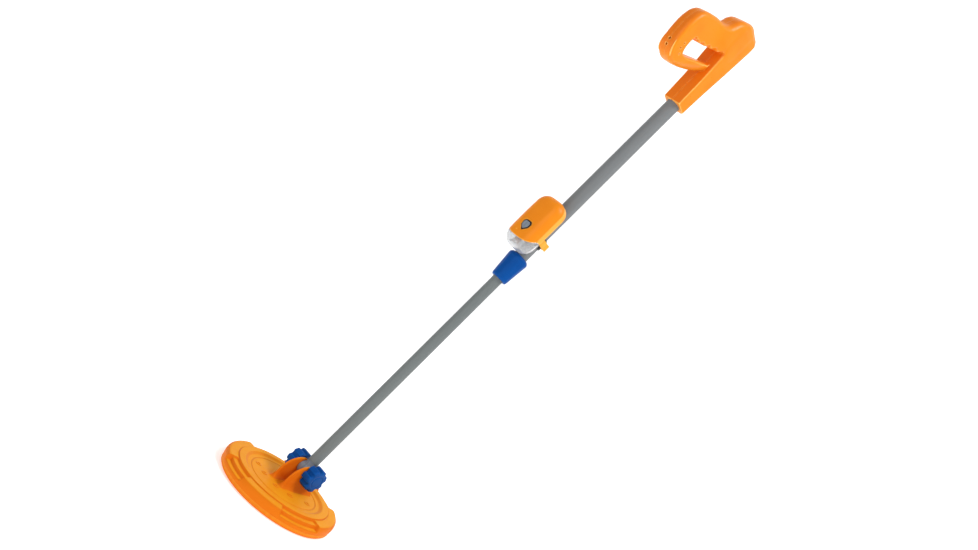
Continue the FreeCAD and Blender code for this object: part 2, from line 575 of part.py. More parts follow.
def make_lamp():
    wall = size("lamp_wall")
    outer = lamp_block(0)
    inner = lamp_block(wall)
    body = outer.cut(inner).cut(lens_side())
    lens = outer.cut(lamp_block(size("lens_wall"))).common(lens_side(-0.05))
    half = size("clip_neck") / 2
    cover = body.common(split_side(True))
    tray = body.common(split_side(False))
    # the base reaches down to a C-shaped clip round the tube
    clip = Part.makeCylinder(size("clip_radius"), size("clip_length"), Vector(0, 0, size("clip_start")))
    neck = Part.makeBox(size("lamp_bottom") - size("clip_bore") + 2.0, size("clip_neck"), size("clip_length"),
                        Vector(-size("lamp_bottom") - 1.0, -half, size("clip_start")))
    mouth = Part.makeBox(40, 2 * size("clip_mouth_half"), 40, Vector(4.0, -size("clip_mouth_half"), 410))
    bore = Part.makeCylinder(size("clip_bore"), 40, Vector(0, 0, 410))
    lips = [clip_lip(side) for side in (-1, 1)]
    tray = tray.fuse([clip, neck]).cut([bore, mouth]).fuse(lips)
    radius = size("lamp_post_radius")
    bottom = size("lamp_bottom")
    posts = [post(*spot, radius, bottom + 0.5, size("lamp_split")) for spot in lamp_screw_spots()]
    tray = tray.fuse(posts)
    under_top = size("lamp_top") - 1.5
    upper_posts = [post(*spot, radius, size("lamp_split"), under_top) for spot in lamp_screw_spots()]
    cover = cover.fuse([solid.common(outer) for solid in upper_posts])
    for spot in lamp_screw_spots():
        tray = tray.cut(post(*spot, size("lamp_screw_radius") + 0.1, 10, 60))
        tray = tray.cut(post(*spot, size("lamp_screw_head") + 0.2, 10, bottom + 3.0))
        cover = cover.cut(post(*spot, size("lamp_screw_radius"), 10, bottom + 3 + size("lamp_screw_length")))
    top = size("lamp_top")
    bezel_hole = shield(size("bezel_half_width"), size("bezel_half_length"), top + 5, top - 6)
    cover = cover.cut(bezel_hole)
    keep(feature("lamp_cover_shape", cover), "lamp_cover", pole_place())
    keep(feature("lamp_base_shape", tray), "lamp_base", pole_place())
    keep(feature("lamp_lens_shape", lens), "lamp_lens", pole_place())
    bezel = shield(size("bezel_half_width"), size("bezel_half_length"), top + 0.5, top - 5)
    opening = shield(size("button_half_width") + size("button_gap"),
                     size("button_half_length") + size("button_gap"), top + 5, top - 8)
    keep(feature("bezel_shape", bezel.cut(opening)), "button_bezel", pole_place())
    button = shield(size("button_half_width"), size("button_half_length"), top + size("button_proud"),
                    top - size("button_depth"))
    stem_low = size("lamp_board_height") + size("lamp_board_thick") + size("tact_height") + 1.3
    stem = post(size("button_at"), 0, 2.0, stem_low, top - size("button_depth") + 0.5)
    keep(feature("button_shape", button.fuse(stem)), "lamp_button", pole_place())
    make_lamp_inside()


def make_lamp_inside():
    turn = Rotation(Y_AXIS, -90)
    height = size("reflector_height")
    bowl = turned("reflector_body", [
        ("reflector_throat", "reflector_end"), ("reflector_throat - 1", "reflector_end"),
        ("reflector_mouth - 1", "reflector_start"), ("reflector_mouth", "reflector_start")])
    keep(bowl, "lamp_reflector", pole_place(0, height))
    led = cylinder("led_body", "led_radius", "led_length")
    keep(led, "lamp_led", pole_place(size("reflector_end") - size("led_length") + 1, height))
    board = block("lamp_board_block", "lamp_board_thick", "lamp_board_half + lamp_board_half",
                  "lamp_board_end - lamp_board_start")
    corner = pole_place(size("lamp_board_start"), size("lamp_board_height") + size("lamp_board_thick"),
                        -size("lamp_board_half"))
    keep(board, "lamp_board", corner)
    tact = block("tact_block", "tact_height", "tact_half + tact_half", "tact_half + tact_half")
    keep(tact, "lamp_switch", pole_place(size("button_at") - size("tact_half"),
         size("lamp_board_height") + size("lamp_board_thick") + size("tact_height"), -size("tact_half")))
    cells = []
    plates = []
    for index in range(-1, 2):
        side = index * size("cell_pitch")
        cells.append(cylinder(f"cell_{index + 1}", "cell_radius", "cell_length",
                              local(size("cell_start"), size("cell_height"), side)))
        for end, start in (("front", size("cell_start") - size("contact_thick") - 0.1),
                           ("back", size("cell_start") + size("cell_length") + 0.1)):
            plate = block(f"contact_{end}_{index + 1}", "cell_radius + 2", "cell_radius + 2", "contact_thick",
                          local(start, size("cell_height") + size("cell_radius") / 2 + 1,
                                side - size("cell_radius") / 2 - 1))
            plates.append(plate)
    keep(group("cells", cells), "lamp_cells", pole_place())
    keep(group("contacts", plates), "cell_contacts", pole_place())
    screws = []
    low = size("lamp_bottom") + 0.6
    for index, (along, side) in enumerate(lamp_screw_spots()):
        upward = local(along, low, side, turn)
        head = cylinder(f"lamp_screw_head_{index}", "lamp_screw_head", "screw_head_height", upward)
        shank = cylinder(f"lamp_screw_shank_{index}", "lamp_screw_radius", "lamp_screw_length", upward)
        screws.append(fuse(f"lamp_screw_{index}", [head, shank]))
    keep(group("lamp_screw_group", screws), "lamp_screws", pole_place())
    liner = Part.makeCylinder(size("liner_radius"), size("liner_length"), Vector(0, 0, size("liner_start")))
    hole = Part.makeCylinder(size("liner_bore"), size("liner_length"), Vector(0, 0, size("liner_start")))
    mouth = Part.makeBox(40, 2 * size("clip_mouth_half"), 40, Vector(4.0, -size("clip_mouth_half"), 410))
    keep(feature("liner_shape", liner.cut([hole, mouth])), "lamp_liner", pole_place())


# ---------------------------------------------------------------- handle

# the outside of the guard, loop, grip and thumb rest, as (along the pole, up from its axis)
LOOP_OUTSIDE = [(752, 9), (747, 22), (735, 45), (725, 62), (716, 79), (712.5, 91), (714.5, 102), (722, 111),
                (733, 116), (747, 119), (762, 120), (777, 117.5), (787, 112), (794, 103.5), (799.5, 94),
                (804.5, 84.5), (808.5, 75.5), (812, 66), (816, 57.8), (822, 51.3), (829.5, 47), (838, 43),
                (845.5, 36.5), (850.5, 27.5), (854, 9)]
# the finger opening between the guard and the grip
FINGER_OPENING = [(760, 90), (746, 90.5), (735, 85), (739, 72), (750, 55), (763, 34), (773, 19), (796, 19),
                  (791, 31), (783, 45), (775, 58), (767, 72), (762, 83)]
# sections of the sleeve: along the pole, half width, top, bottom, corner radius
SLEEVE = [(704, 14.8, 12.0, -13.5, 4.5), (750, 15.4, 14.5, -16.0, 5.0), (790, 16.7, 20.0, -18.5, 6.0),
          (840, 16.6, 27.0, -23.5, 8.0), (851, 15.8, 24.0, -24.0, 8.0), (857, 13.6, 19.0, -20.5, 8.0)]
REAR_CAVITY = [(768, 16.0, 17.0, -17.0, 5.4), (790, 16.7, 20.0, -18.5, 6.0), (838, 16.6, 26.7, -23.3, 8.0),
               (851, 15.6, 23.8, -23.6, 8.0)]
HANDLE_SCREWS = [(726.0, 74.0), (779.0, 105.0), (803.0, 62.0), (840.5, 12.0)]


def rounded_section(along, half, top, bottom, radius):
    """One closed rounded rectangle of the sleeve."""
    low, high = -top, -bottom
    flats = [((low + radius, half), (high - radius, half)), ((high, half - radius), (high, -half + radius)),
             ((high - radius, -half), (low + radius, -half)), ((low, -half + radius), (low, half - radius))]
    bulge = radius * (1 - math.sqrt(0.5))
    corners = [(high - bulge, half - bulge), (high - bulge, -half + bulge), (low + bulge, -half + bulge),
               (low + bulge, half - bulge)]
    edges = []
    for index, (begin, finish) in enumerate(flats):
        nxt = flats[(index + 1) % 4][0]
        edges.append(Part.LineSegment(Vector(*begin, along), Vector(*finish, along)).toShape())
        arc = Part.Arc(Vector(*finish, along), Vector(*corners[index], along), Vector(*nxt, along))
        edges.append(arc.toShape())
    return Part.Wire(edges)


def with_steps(sections):
    """The same sections with evenly spaced ones between them, so that the loft follows them closely."""
    rows = [sections[0]]
    for begin, finish in zip(sections, sections[1:]):
        count = max(1, round((finish[0] - begin[0]) / size("section_step")))
        for index in range(1, count + 1):
            share = index / count
            rows.append(tuple(one + (other - one) * share for one, other in zip(begin, finish)))
    return rows


def sleeve_solid(wall, sections):
    wires = []
    for along, half, top, bottom, radius in with_steps(sections):
        wires.append(rounded_section(along, half - wall, top - wall, bottom + wall, radius - wall / 2))
    return Part.makeLoft(wires, True, False)


def smooth(points, closed=False):
    curve = Part.BSplineCurve()
    path = [Vector(-up, 0, along) for along, up in points]
    if closed:
        curve.interpolate(Points=path, PeriodicFlag=True)
    else:
        curve.interpolate(path)
    return curve.toShape()


def slab(wire, half):
    """A flat outline made into a slab, as thick on each side of the middle plane."""
    wire = wire.copy()
    wire.translate(Vector(0, -half, 0))
    return Part.Face(wire).extrude(Vector(0, 2 * half, 0))


def polygon_slab(points, half):
    path = [Vector(-up, 0, along) for along, up in points]
    return slab(Part.makePolygon(path + path[:1]), half)


def across(along, up, radius, low, high):
    """A round bar along Y between two heights from the middle plane."""
    return Part.makeCylinder(radius, high - low, Vector(-up, low, along), Y_AXIS)


def handle_blank():
    back = smooth(LOOP_OUTSIDE)
    first = Vector(-LOOP_OUTSIDE[0][1], 0, LOOP_OUTSIDE[0][0])
    last = Vector(-LOOP_OUTSIDE[-1][1], 0, LOOP_OUTSIDE[-1][0])
    low = [Vector(5.0, 0, 852), Vector(5.0, 0, 755)]
    closing = [Part.LineSegment(last, low[0]).toShape(), Part.LineSegment(low[0], low[1]).toShape(),
               Part.LineSegment(low[1], first).toShape()]
    loop = slab(Part.Wire([back] + closing), size("handle_half"))
    window = slab(Part.Wire([smooth(FINGER_OPENING, closed=True)]), 40)
    loop = loop.cut(window)
    rims = [edge for edge in loop.Edges
            if abs(abs(edge.CenterOfMass.y) - size("handle_half")) < 0.01 and edge.BoundBox.XMin < -15]
    loop = loop.makeFillet(size("handle_round"), rims)
    return sleeve_solid(0, SLEEVE).fuse(loop), window


def make_handle():
    blank, window = handle_blank()
    wall = size("shell_wall")
    half = size("handle_half") - wall - 0.4
    tube = Part.makeCylinder(size("upper_tube_radius"), 70.0, Vector(0, 0, size("upper_tube_end") - 69.0))
    cavities = [tube, sleeve_solid(wall, REAR_CAVITY),
                polygon_slab([(801, 14), (795.5, 32), (787, 47.5), (778.5, 61), (770, 77), (767.5, 93),
                              (788, 98), (802, 78), (808, 60), (820, 42), (838, 26), (838, 14)], half),
                polygon_slab([(716.5, 91), (720, 104), (740, 113), (754, 115), (754, 96), (730, 90)], half)]
    bosses = [across(*spot, size("handle_boss"), -30, 30) for spot in HANDLE_SCREWS]
    hollow = blank.cut(cavities)
    hollow = hollow.fuse([boss.common(blank) for boss in bosses]).cut(window)
    tools = []
    for along, up in HANDLE_SCREWS:
        tools.append(across(along, up, size("screw_head") + 0.3, size("counterbore_floor"), 30))
        tools.append(across(along, up, size("screw_radius"),
                            size("counterbore_floor") - size("handle_screw_length"), 30))
    # sound holes: two in the front of the loop and three in its side
    for along, up in ((732.0, 111.0), (724.0, 108.0)):
        tools.append(Part.makeCylinder(1.5, 24, Vector(-up + 4, 0, along + 4), Vector(-1, 0, -0.75)))
    for along, up in ((741, 99), (733, 98), (728, 91)):
        tools.append(across(along, up, 0.9, -30, -6))
    # the battery opening on the belly, and the slot of the power slider on the far side
    door_low = size("door_half") + size("door_gap")
    door_long = size("door_end") - size("door_start") + 2 * size("door_gap")
    door_corner = Vector(10.0, -door_low, size("door_start") - size("door_gap"))
    tools.append(Part.makeBox(20, 2 * door_low, door_long, door_corner))
    reach = size("slider_half_long") + size("slider_travel") / 2 + 0.4
    tools.append(Part.makeBox(2 * size("slider_half_wide") + 0.8, 20, 2 * reach,
                              Vector(-size("switch_up") - size("slider_half_wide") - 0.4, 8,
                                     size("switch_along") - reach)))
    pin = across(size("tube_pin_at"), 0, size("tube_pin_radius"), -size("tube_pin_half"), size("tube_pin_half"))
    tools.append(pin)
    hollow = hollow.cut(tools)
    far = Part.makeBox(400, 100, 400, Vector(-200, 0, 600))
    near = Part.makeBox(400, 100, 400, Vector(-200, -100, 600))
    keep(feature("shell_far_shape", hollow.common(far)), "handle_shell_right", pole_place())
    keep(feature("shell_near_shape", hollow.common(near)), "handle_shell_left", pole_place())
    make_handle_inside()


def make_handle_inside():
    screws = []
    turn = Rotation(X_AXIS, 90)
    for index, (along, up) in enumerate(HANDLE_SCREWS):
        spot = local(along, up, size("counterbore_floor"), turn)
        above = local(along, up, size("counterbore_floor") + size("screw_head_height"), turn)
        shank = cylinder(f"handle_screw_shank_{index}", "screw_radius", "handle_screw_length - 0.5", spot)
        head = cylinder(f"handle_screw_head_{index}", "screw_head", "screw_head_height", above)
        screws.append(fuse(f"handle_screw_{index}", [shank, head]))
    keep(group("handle_screw_group", screws), "handle_screws", pole_place())
    pin = cylinder("tube_pin_bar", "tube_pin_radius", "tube_pin_half + tube_pin_half - 0.2")
    keep(pin, "tube_pin", pole_place(size("tube_pin_at"), 0, size("tube_pin_half") - 0.1, turn))
    drop = size("battery_drop")
    battery = block("battery_block", "battery_half_thick + battery_half_thick",
                    "battery_half_width + battery_half_width", "battery_length")
    keep(battery, "battery", pole_place(size("battery_start"), drop + size("battery_half_thick"),
                                        -size("battery_half_width")))
    snap = block("snap_block", "battery_half_thick + battery_half_thick - 2",
                 "battery_half_width + battery_half_width - 2", "snap_thick")
    snap_place = pole_place(size("battery_start") - size("snap_thick") - 0.1,
                            drop + size("battery_half_thick") - 1, 1 - size("battery_half_width"))
    keep(snap, "battery_snap", snap_place)
    buzzer = cylinder("buzzer_disc", "buzzer_radius", "buzzer_thick")
    keep(buzzer, "buzzer", pole_place(size("buzzer_along"), size("buzzer_up"), -2.0, turn))
    board = block("main_board_block", "board_half_wide + board_half_wide", "board_thick",
                  "board_half_long + board_half_long",
                  Placement(Vector(-size("board_half_wide"), 0, -size("board_half_long")), Rotation()))
    centre = pole_place(size("board_along"), size("board_up"), -3.0, Rotation(Y_AXIS, 90 - size("board_lean")))
    keep(group("main_board_group", [board]), "main_board", centre)
    make_switch()
    make_door()


def make_switch():
    """The power switch behind the far shell, and its slider."""
    inner = 16.6 - size("shell_wall")
    along = size("switch_along")
    up = size("switch_up")
    body = block("switch_block", "switch_half_wide + switch_half_wide", "snap_thick",
                 "switch_half_long + switch_half_long")
    keep(body, "power_switch", pole_place(along - size("switch_half_long"), up + size("switch_half_wide"),
                                          inner - size("snap_thick") - 0.9))
    cap = block("slider_block", "slider_half_wide + slider_half_wide", "snap_thick + 0.9",
                "slider_half_long + slider_half_long")
    keep(cap, "power_slider", pole_place(along - size("slider_half_long") - size("slider_travel") / 2,
                                         up + size("slider_half_wide"), inner - 0.4))


def make_door():
    """The battery door, a plate in the belly of the sleeve that follows its surface."""
    whole = sleeve_solid(0, SLEEVE)
    inside = sleeve_solid(size("door_thick"), SLEEVE)
    span = Part.makeBox(30, 2 * size("door_half"), size("door_end") - size("door_start"),
                        Vector(8.0, -size("door_half"), size("door_start")))
    keep(feature("door_shape", whole.cut(inside).common(span)), "battery_door", pole_place())


make_coil_base()
make_coil_housing()
make_coil_inside()
make_hinge()
make_foot()
make_pole()
make_lamp()
make_handle()

doc.recompute()
for item in doc.Objects:
    if "Invalid" in item.State or "Error" in item.State:
        raise RuntimeError(f"{item.Label} did not build: {item.State}")
for label, item in parts.items():
    if item.Shape.isNull() or not item.Shape.isValid() or not item.Shape.Solids:
        raise RuntimeError(f"{label} has no valid solid")
os.makedirs("parts", exist_ok=True)
for label, item in parts.items():
    item.Shape.exportStep(f"parts/{label}.step")
    print(label, len(item.Shape.Solids), round(item.Shape.Volume))
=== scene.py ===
import json
import math

import bpy
import numpy as np
from mathutils import Matrix, Vector


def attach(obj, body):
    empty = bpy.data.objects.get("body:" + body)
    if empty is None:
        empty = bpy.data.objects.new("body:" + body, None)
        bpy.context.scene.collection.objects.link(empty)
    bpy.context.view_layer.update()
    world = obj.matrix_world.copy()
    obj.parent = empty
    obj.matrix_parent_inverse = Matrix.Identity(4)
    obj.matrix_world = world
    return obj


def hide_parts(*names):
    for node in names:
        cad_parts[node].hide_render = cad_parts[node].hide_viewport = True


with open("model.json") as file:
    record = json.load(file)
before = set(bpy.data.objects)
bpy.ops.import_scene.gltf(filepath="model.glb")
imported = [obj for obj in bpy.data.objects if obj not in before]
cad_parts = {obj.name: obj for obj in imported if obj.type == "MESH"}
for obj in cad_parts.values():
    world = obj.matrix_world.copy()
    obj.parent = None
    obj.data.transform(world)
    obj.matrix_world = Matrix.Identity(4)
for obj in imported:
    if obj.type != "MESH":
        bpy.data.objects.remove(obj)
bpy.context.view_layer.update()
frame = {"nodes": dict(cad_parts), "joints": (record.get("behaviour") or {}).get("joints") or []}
joints = {joint["name"]: joint for joint in frame["joints"]}
PIVOT = np.array(joints["coil_tilt"]["pos_m"]) * 1000
POLE = np.array(joints["pole_telescope"]["axis"])
POLE /= np.linalg.norm(POLE)

# Shapes are worked out in millimetres. The pole frame has Z up the pole from the hinge pin and Y along
# the pin, and its -X is the side where the grip and the lamp stand.
POLE_AXES = np.array([[POLE[2], 0.0, -POLE[0]], [0.0, 1.0, 0.0], POLE])


# ---------------------------------------------------------------- fields and their meshes

def smooth_min(a, b, k):
    h = np.clip(0.5 + 0.5 * (b - a) / k, 0.0, 1.0)
    return b + (a - b) * h - k * h * (1.0 - h)


def smooth_max(a, b, k):
    return -smooth_min(-a, -b, k)


def step(value, low, high):
    """0 below low, 1 above high, and a smooth rise between."""
    t = np.clip((value - low) / (high - low), 0.0, 1.0)
    return t * t * (3.0 - 2.0 * t)


def rounded(flat, thick, radius):
    """Distance to a slab with rounded edges: flat is the outline's own distance, thick that to its faces."""
    a = flat + radius
    b = thick + radius
    return np.hypot(np.maximum(a, 0), np.maximum(b, 0)) + np.minimum(np.maximum(a, b), 0) - radius


def curve_through(points, closed, pieces=10):
    """A smooth line through the points, as short straight pieces."""
    p = np.array(points, float)
    if closed:
        p = np.vstack([p[-1:], p, p[:2]])
    else:
        p = np.vstack([2 * p[0] - p[1], p, 2 * p[-1] - p[-2]])
    t = np.linspace(0, 1, pieces, endpoint=False)[:, None]
    line = []
    for a, b, c, d in zip(p, p[1:], p[2:], p[3:]):
        line.append(b + 0.5 * t * (c - a) + t ** 2 * (a - 2.5 * b + 2 * c - 0.5 * d)
                    + t ** 3 * 0.5 * (3 * b - a - 3 * c + d))
    if not closed:
        line.append(p[-2][None, :])
    return np.vstack(line)


class Outline:
    """The signed distance to a closed outline, negative inside, kept on a fine grid."""

    def __init__(self, points, pad=30.0, pitch=0.4):
        points = np.asarray(points, float)
        self.low = points.min(0) - pad
        self.pitch = pitch
        counts = np.ceil((points.max(0) + pad - self.low) / pitch).astype(int) + 1
        u = self.low[0] + pitch * np.arange(counts[0])[:, None]
        v = self.low[1] + pitch * np.arange(counts[1])[None, :]
        best = np.full(counts, 1e9)
        inside = np.zeros(counts, bool)
        for (ax, ay), (bx, by) in zip(points, np.roll(points, -1, axis=0)):
            ex, ey = bx - ax, by - ay
            along = np.clip(((u - ax) * ex + (v - ay) * ey) / max(ex * ex + ey * ey, 1e-12), 0, 1)
            best = np.minimum(best, (u - ax - along * ex) ** 2 + (v - ay - along * ey) ** 2)
            if ay != by:
                crosses = ((ay > v) != (by > v)) & (u < ex * (v - ay) / ey + ax)
                inside ^= crosses
        self.value = np.sqrt(best) * np.where(inside, -1.0, 1.0)

    def __call__(self, u, v):
        a = np.clip((u - self.low[0]) / self.pitch, 0, self.value.shape[0] - 1.001)
        b = np.clip((v - self.low[1]) / self.pitch, 0, self.value.shape[1] - 1.001)
        i, j = a.astype(int), b.astype(int)
        a, b = a - i, b - j
        near = self.value[i, j] * (1 - b) + self.value[i, j + 1] * b
        far = self.value[i + 1, j] * (1 - b) + self.value[i + 1, j + 1] * b
        return near * (1 - a) + far * a


def net(field, low, high, pitch):
    """Vertices and quads where the field is zero, found cell by cell and then drawn onto the surface."""
    low = np.array(low, float)
    counts = np.ceil((np.array(high, float) - low) / pitch).astype(int) + 1
    axes = [low[i] + pitch * np.arange(counts[i]) for i in range(3)]
    value = np.empty(counts)
    for i, x in enumerate(axes[0]):
        y, z = np.meshgrid(axes[1], axes[2], indexing="ij")
        value[i] = field(np.full_like(y, x), y, z)
    inside = value < 0
    cells = counts - 1
    total = np.zeros((*cells, 3))
    found = np.zeros(cells)
    edges = []
    for axis in range(3):
        first = [slice(None)] * 3
        second = [slice(None)] * 3
        first[axis] = slice(0, -1)
        second[axis] = slice(1, None)
        a, b = value[tuple(first)], value[tuple(second)]
        cross = inside[tuple(first)] != inside[tuple(second)]
        share = np.where(cross, a / np.where(cross, a - b, 1.0), 0.0)
        place = np.stack(np.nonzero(cross), -1)
        point = place.astype(float)
        point[:, axis] += share[cross]
        edges.append((axis, place, inside[tuple(first)][cross]))
        others = [k for k in range(3) if k != axis]
        for du in (0, 1):
            for dv in (0, 1):
                cell = place.copy()
                cell[:, others[0]] -= du
                cell[:, others[1]] -= dv
                good = np.all((cell >= 0) & (cell < cells), axis=1)
                key = tuple(cell[good].T)
                np.add.at(found, key, 1)
                np.add.at(total, key, point[good])
    index = np.full(cells, -1)
    used = found > 0
    index[used] = np.arange(used.sum())
    points = low + pitch * (total[used] / found[used][:, None])
    quads = []
    for axis, place, starts_inside in edges:
        u, v = [k for k in range(3) if k != axis]
        ring = []
        for du, dv in ((0, 0), (1, 0), (1, 1), (0, 1)):
            cell = place.copy()
            cell[:, u] -= du
            cell[:, v] -= dv
            ring.append(cell)
        ring = np.stack(ring, 1)
        good = np.all((ring >= 0) & (ring < cells), axis=(1, 2))
        quad = index[tuple(np.moveaxis(ring[good], -1, 0))]
        flip = starts_inside[good] == (axis == 1)
        quad[flip] = quad[flip][:, ::-1]
        quads.append(quad)
    start = points.copy()
    for _ in range(3):
        points -= slope_step(field, points)
        points = start + np.clip(points - start, -0.6 * pitch, 0.6 * pitch)
    return points, np.vstack(quads)


def slope_step(field, points):
    """How far each point is from the surface, along the field's slope."""
    x, y, z = points.T
    here = field(x, y, z)
    e = 0.05
    slope = np.stack([field(x + e, y, z) - field(x - e, y, z), field(x, y + e, z) - field(x, y - e, z),
                      field(x, y, z + e) - field(x, y, z - e)], -1) / (2 * e)
    return slope * (here / np.maximum((slope ** 2).sum(-1), 0.05))[:, None]


def to_row(points):
    """From the pole frame to the row frame, in millimetres."""
    return PIVOT + points @ POLE_AXES


def piece(name, shape, body, node, material, on_pole=True):
    """A mesh made from vertices and quads in millimetres, that rides on a body in place of a CAD node."""
    points, quads = shape
    points = (to_row(points) if on_pole else points) / 1000
    mesh = bpy.data.meshes.new(name)
    mesh.vertices.add(len(points))
    mesh.vertices.foreach_set("co", points.ravel())
    mesh.loops.add(quads.size)
    mesh.loops.foreach_set("vertex_index", quads.ravel().astype(np.int32))
    mesh.polygons.add(len(quads))
    mesh.polygons.foreach_set("loop_start", np.arange(0, quads.size, 4, dtype=np.int32))
    mesh.update(calc_edges=True)
    mesh.validate()
    mesh.polygons.foreach_set("use_smooth", np.ones(len(mesh.polygons), bool))
    mesh.materials.append(material)
    thing = bpy.data.objects.new(name, mesh)
    bpy.context.scene.collection.objects.link(thing)
    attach(thing, body)
    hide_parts(node)
    return thing


# ---------------------------------------------------------------- materials

class Nodes:
    """Builds one node material."""

    def __init__(self, name):
        self.material = bpy.data.materials.new(name)
        self.material.use_nodes = True
        self.tree = self.material.node_tree
        self.tree.nodes.clear()
        output = self.tree.nodes.new("ShaderNodeOutputMaterial")
        self.shader = self.tree.nodes.new("ShaderNodeBsdfPrincipled")
        self.join(self.shader.outputs["BSDF"], output.inputs["Surface"])
        self.place = self.tree.nodes.new("ShaderNodeTexCoord").outputs["Object"]

    def join(self, source, target):
        self.tree.links.new(source, target)

    def stretched(self, scale, turned=False):
        """The object's own coordinates, scaled along each axis, and along the pole if asked."""
        mapping = self.tree.nodes.new("ShaderNodeMapping")
        mapping.vector_type = "TEXTURE"
        mapping.inputs["Scale"].default_value = [1.0 / s for s in scale]
        if turned:
            mapping.inputs["Rotation"].default_value = (0.0, math.atan2(POLE[0], POLE[2]), 0.0)
        self.join(self.place, mapping.inputs["Vector"])
        return mapping.outputs["Vector"]

    def noise(self, scale, detail=3.0, rough=0.5, vector=None):
        node = self.tree.nodes.new("ShaderNodeTexNoise")
        node.inputs["Scale"].default_value = scale
        node.inputs["Detail"].default_value = detail
        node.inputs["Roughness"].default_value = rough
        self.join(vector or self.place, node.inputs["Vector"])
        return node.outputs["Fac"]

    def ramp(self, factor, stops):
        node = self.tree.nodes.new("ShaderNodeValToRGB")
        for index, (at, colour) in enumerate(stops):
            element = node.color_ramp.elements[index] if index < 2 else node.color_ramp.elements.new(at)
            element.position = at
            element.color = (*colour, 1.0)
        self.join(factor, node.inputs["Fac"])
        return node.outputs["Color"]

    def span(self, factor, low, high, start=0.3, end=0.7):
        node = self.tree.nodes.new("ShaderNodeMapRange")
        node.inputs["From Min"].default_value = start
        node.inputs["From Max"].default_value = end
        node.inputs["To Min"].default_value = low
        node.inputs["To Max"].default_value = high
        self.join(factor, node.inputs["Value"])
        return node.outputs["Result"]

    def mix(self, factor, one, other, blend="MIX"):
        node = self.tree.nodes.new("ShaderNodeMix")
        node.data_type = "RGBA"
        node.blend_type = blend
        for source, target in ((factor, 0), (one, 6), (other, 7)):
            if isinstance(source, float):
                node.inputs[target].default_value = source
            elif isinstance(source, tuple):
                node.inputs[target].default_value = (*source, 1.0)
            else:
                self.join(source, node.inputs[target])
        return node.outputs[2]

    def edges(self, low=0.52, high=0.6):
        """Where the surface bends outwards, from 0 to 1."""
        geometry = self.tree.nodes.new("ShaderNodeNewGeometry")
        return self.span(geometry.outputs["Pointiness"], 0.0, 1.0, low, high)

    def off_seam(self, value):
        """The value, but nothing within a millimetre of the middle plane, where the two halves meet."""
        away = self.tree.nodes.new("ShaderNodeSeparateXYZ")
        self.join(self.place, away.inputs[0])
        size = self.math("ABSOLUTE", away.outputs["Y"])
        return self.math("MULTIPLY", value, self.span(size, 0.0, 1.0, 0.0007, 0.0014))

    def facing(self, axis, start, end):
        """1 where the surface's own normal has less than start along the axis, 0 beyond end."""
        split = self.tree.nodes.new("ShaderNodeSeparateXYZ")
        coordinates = self.tree.nodes.new("ShaderNodeTexCoord")
        self.join(coordinates.outputs["Normal"], split.inputs[0])
        return self.span(split.outputs[axis], 1.0, 0.0, start, end)

    def upright(self):
        """1 where the surface stands upright on the object, 0 where it lies flat."""
        return self.facing("Z", 0.8, 0.99)

    def forward(self):
        """1 where the surface faces the grip side of the pole, 0 on its flanks."""
        return self.facing("X", -0.95, -0.45)

    def math(self, operation, one, other=None):
        node = self.tree.nodes.new("ShaderNodeMath")
        node.operation = operation
        self.join(one, node.inputs[0])
        if other is not None:
            self.join(other, node.inputs[1])
        return node.outputs[0]

    def hollows(self, low=0.42, high=0.485):
        """Where the surface bends inwards, from 1 in the deepest creases to 0."""
        geometry = self.tree.nodes.new("ShaderNodeNewGeometry")
        return self.span(geometry.outputs["Pointiness"], 1.0, 0.0, low, high)

    def bump(self, height, distance, strength=1.0, onto=None):
        node = self.tree.nodes.new("ShaderNodeBump")
        node.inputs["Strength"].default_value = strength
        node.inputs["Distance"].default_value = distance
        self.join(height, node.inputs["Height"])
        if onto is not None:
            self.join(onto, node.inputs["Normal"])
        return node.outputs["Normal"]

    def set(self, **values):
        for name, value in values.items():
            self.shader.inputs[name.replace("_", " ")].default_value = value


def tint(colour, share):
    return tuple(min(1.0, c * share) for c in colour)


def moulded_plastic(name, base, deep, rough, grain=1.0, shine=0.16, edge=None, painted_wall_shade=None,
                    painted_front_shade=None):
    """Injection-moulded plastic: slow colour drift, fine spark texture, a painted highlight on outward edges
    and painted shade in creases.
    """
    n = Nodes(name)
    drift = n.noise(22.0, 4.0)
    colour = n.ramp(drift, [(0.3, deep), (0.55, base), (0.8, tint(base, 1.04))])
    speck = n.ramp(n.noise(2600.0, 2.0), [(0.42, (0.95, 0.95, 0.95)), (0.6, (1.0, 1.0, 1.0))])
    colour = n.mix(1.0, colour, speck, "MULTIPLY")
    # painted shade: creases are darkened towards the deep tone, where shade falls in them
    colour = n.mix(n.hollows(), colour, tuple(0.7 * c for c in deep))
    if painted_wall_shade is not None:
        # painted shade: upright walls are coloured deeper than the tops, where less light falls on them
        colour = n.mix(n.upright(), colour, painted_wall_shade)
    if painted_front_shade is not None:
        # painted shade: faces towards the grip side are coloured deeper, where less light falls on them
        colour = n.mix(n.forward(), colour, painted_front_shade)
    # painted highlight: outward edges are coloured lighter, with the coil's own thresholds, and otherwise
    # kept off the seam plane
    painted_edge_highlight = n.edges(0.56, 0.68) if painted_wall_shade is not None else n.off_seam(n.edges(0.508, 0.55))
    colour = n.mix(painted_edge_highlight, colour, edge or tint(base, 1.15))
    n.join(colour, n.shader.inputs["Base Color"])
    scuffs = n.noise(160.0, 6.0, 0.65)
    n.join(n.span(scuffs, rough - 0.05, rough + 0.08), n.shader.inputs["Roughness"])
    texture = n.bump(n.noise(1500.0, 3.0, 0.6), 0.00004 * grain, 0.8)
    wave = n.bump(n.noise(35.0, 1.0), 0.0003, 0.25, texture)
    n.join(wave, n.shader.inputs["Normal"])
    n.set(IOR=1.5, Specular_IOR_Level=shine)
    return n.material


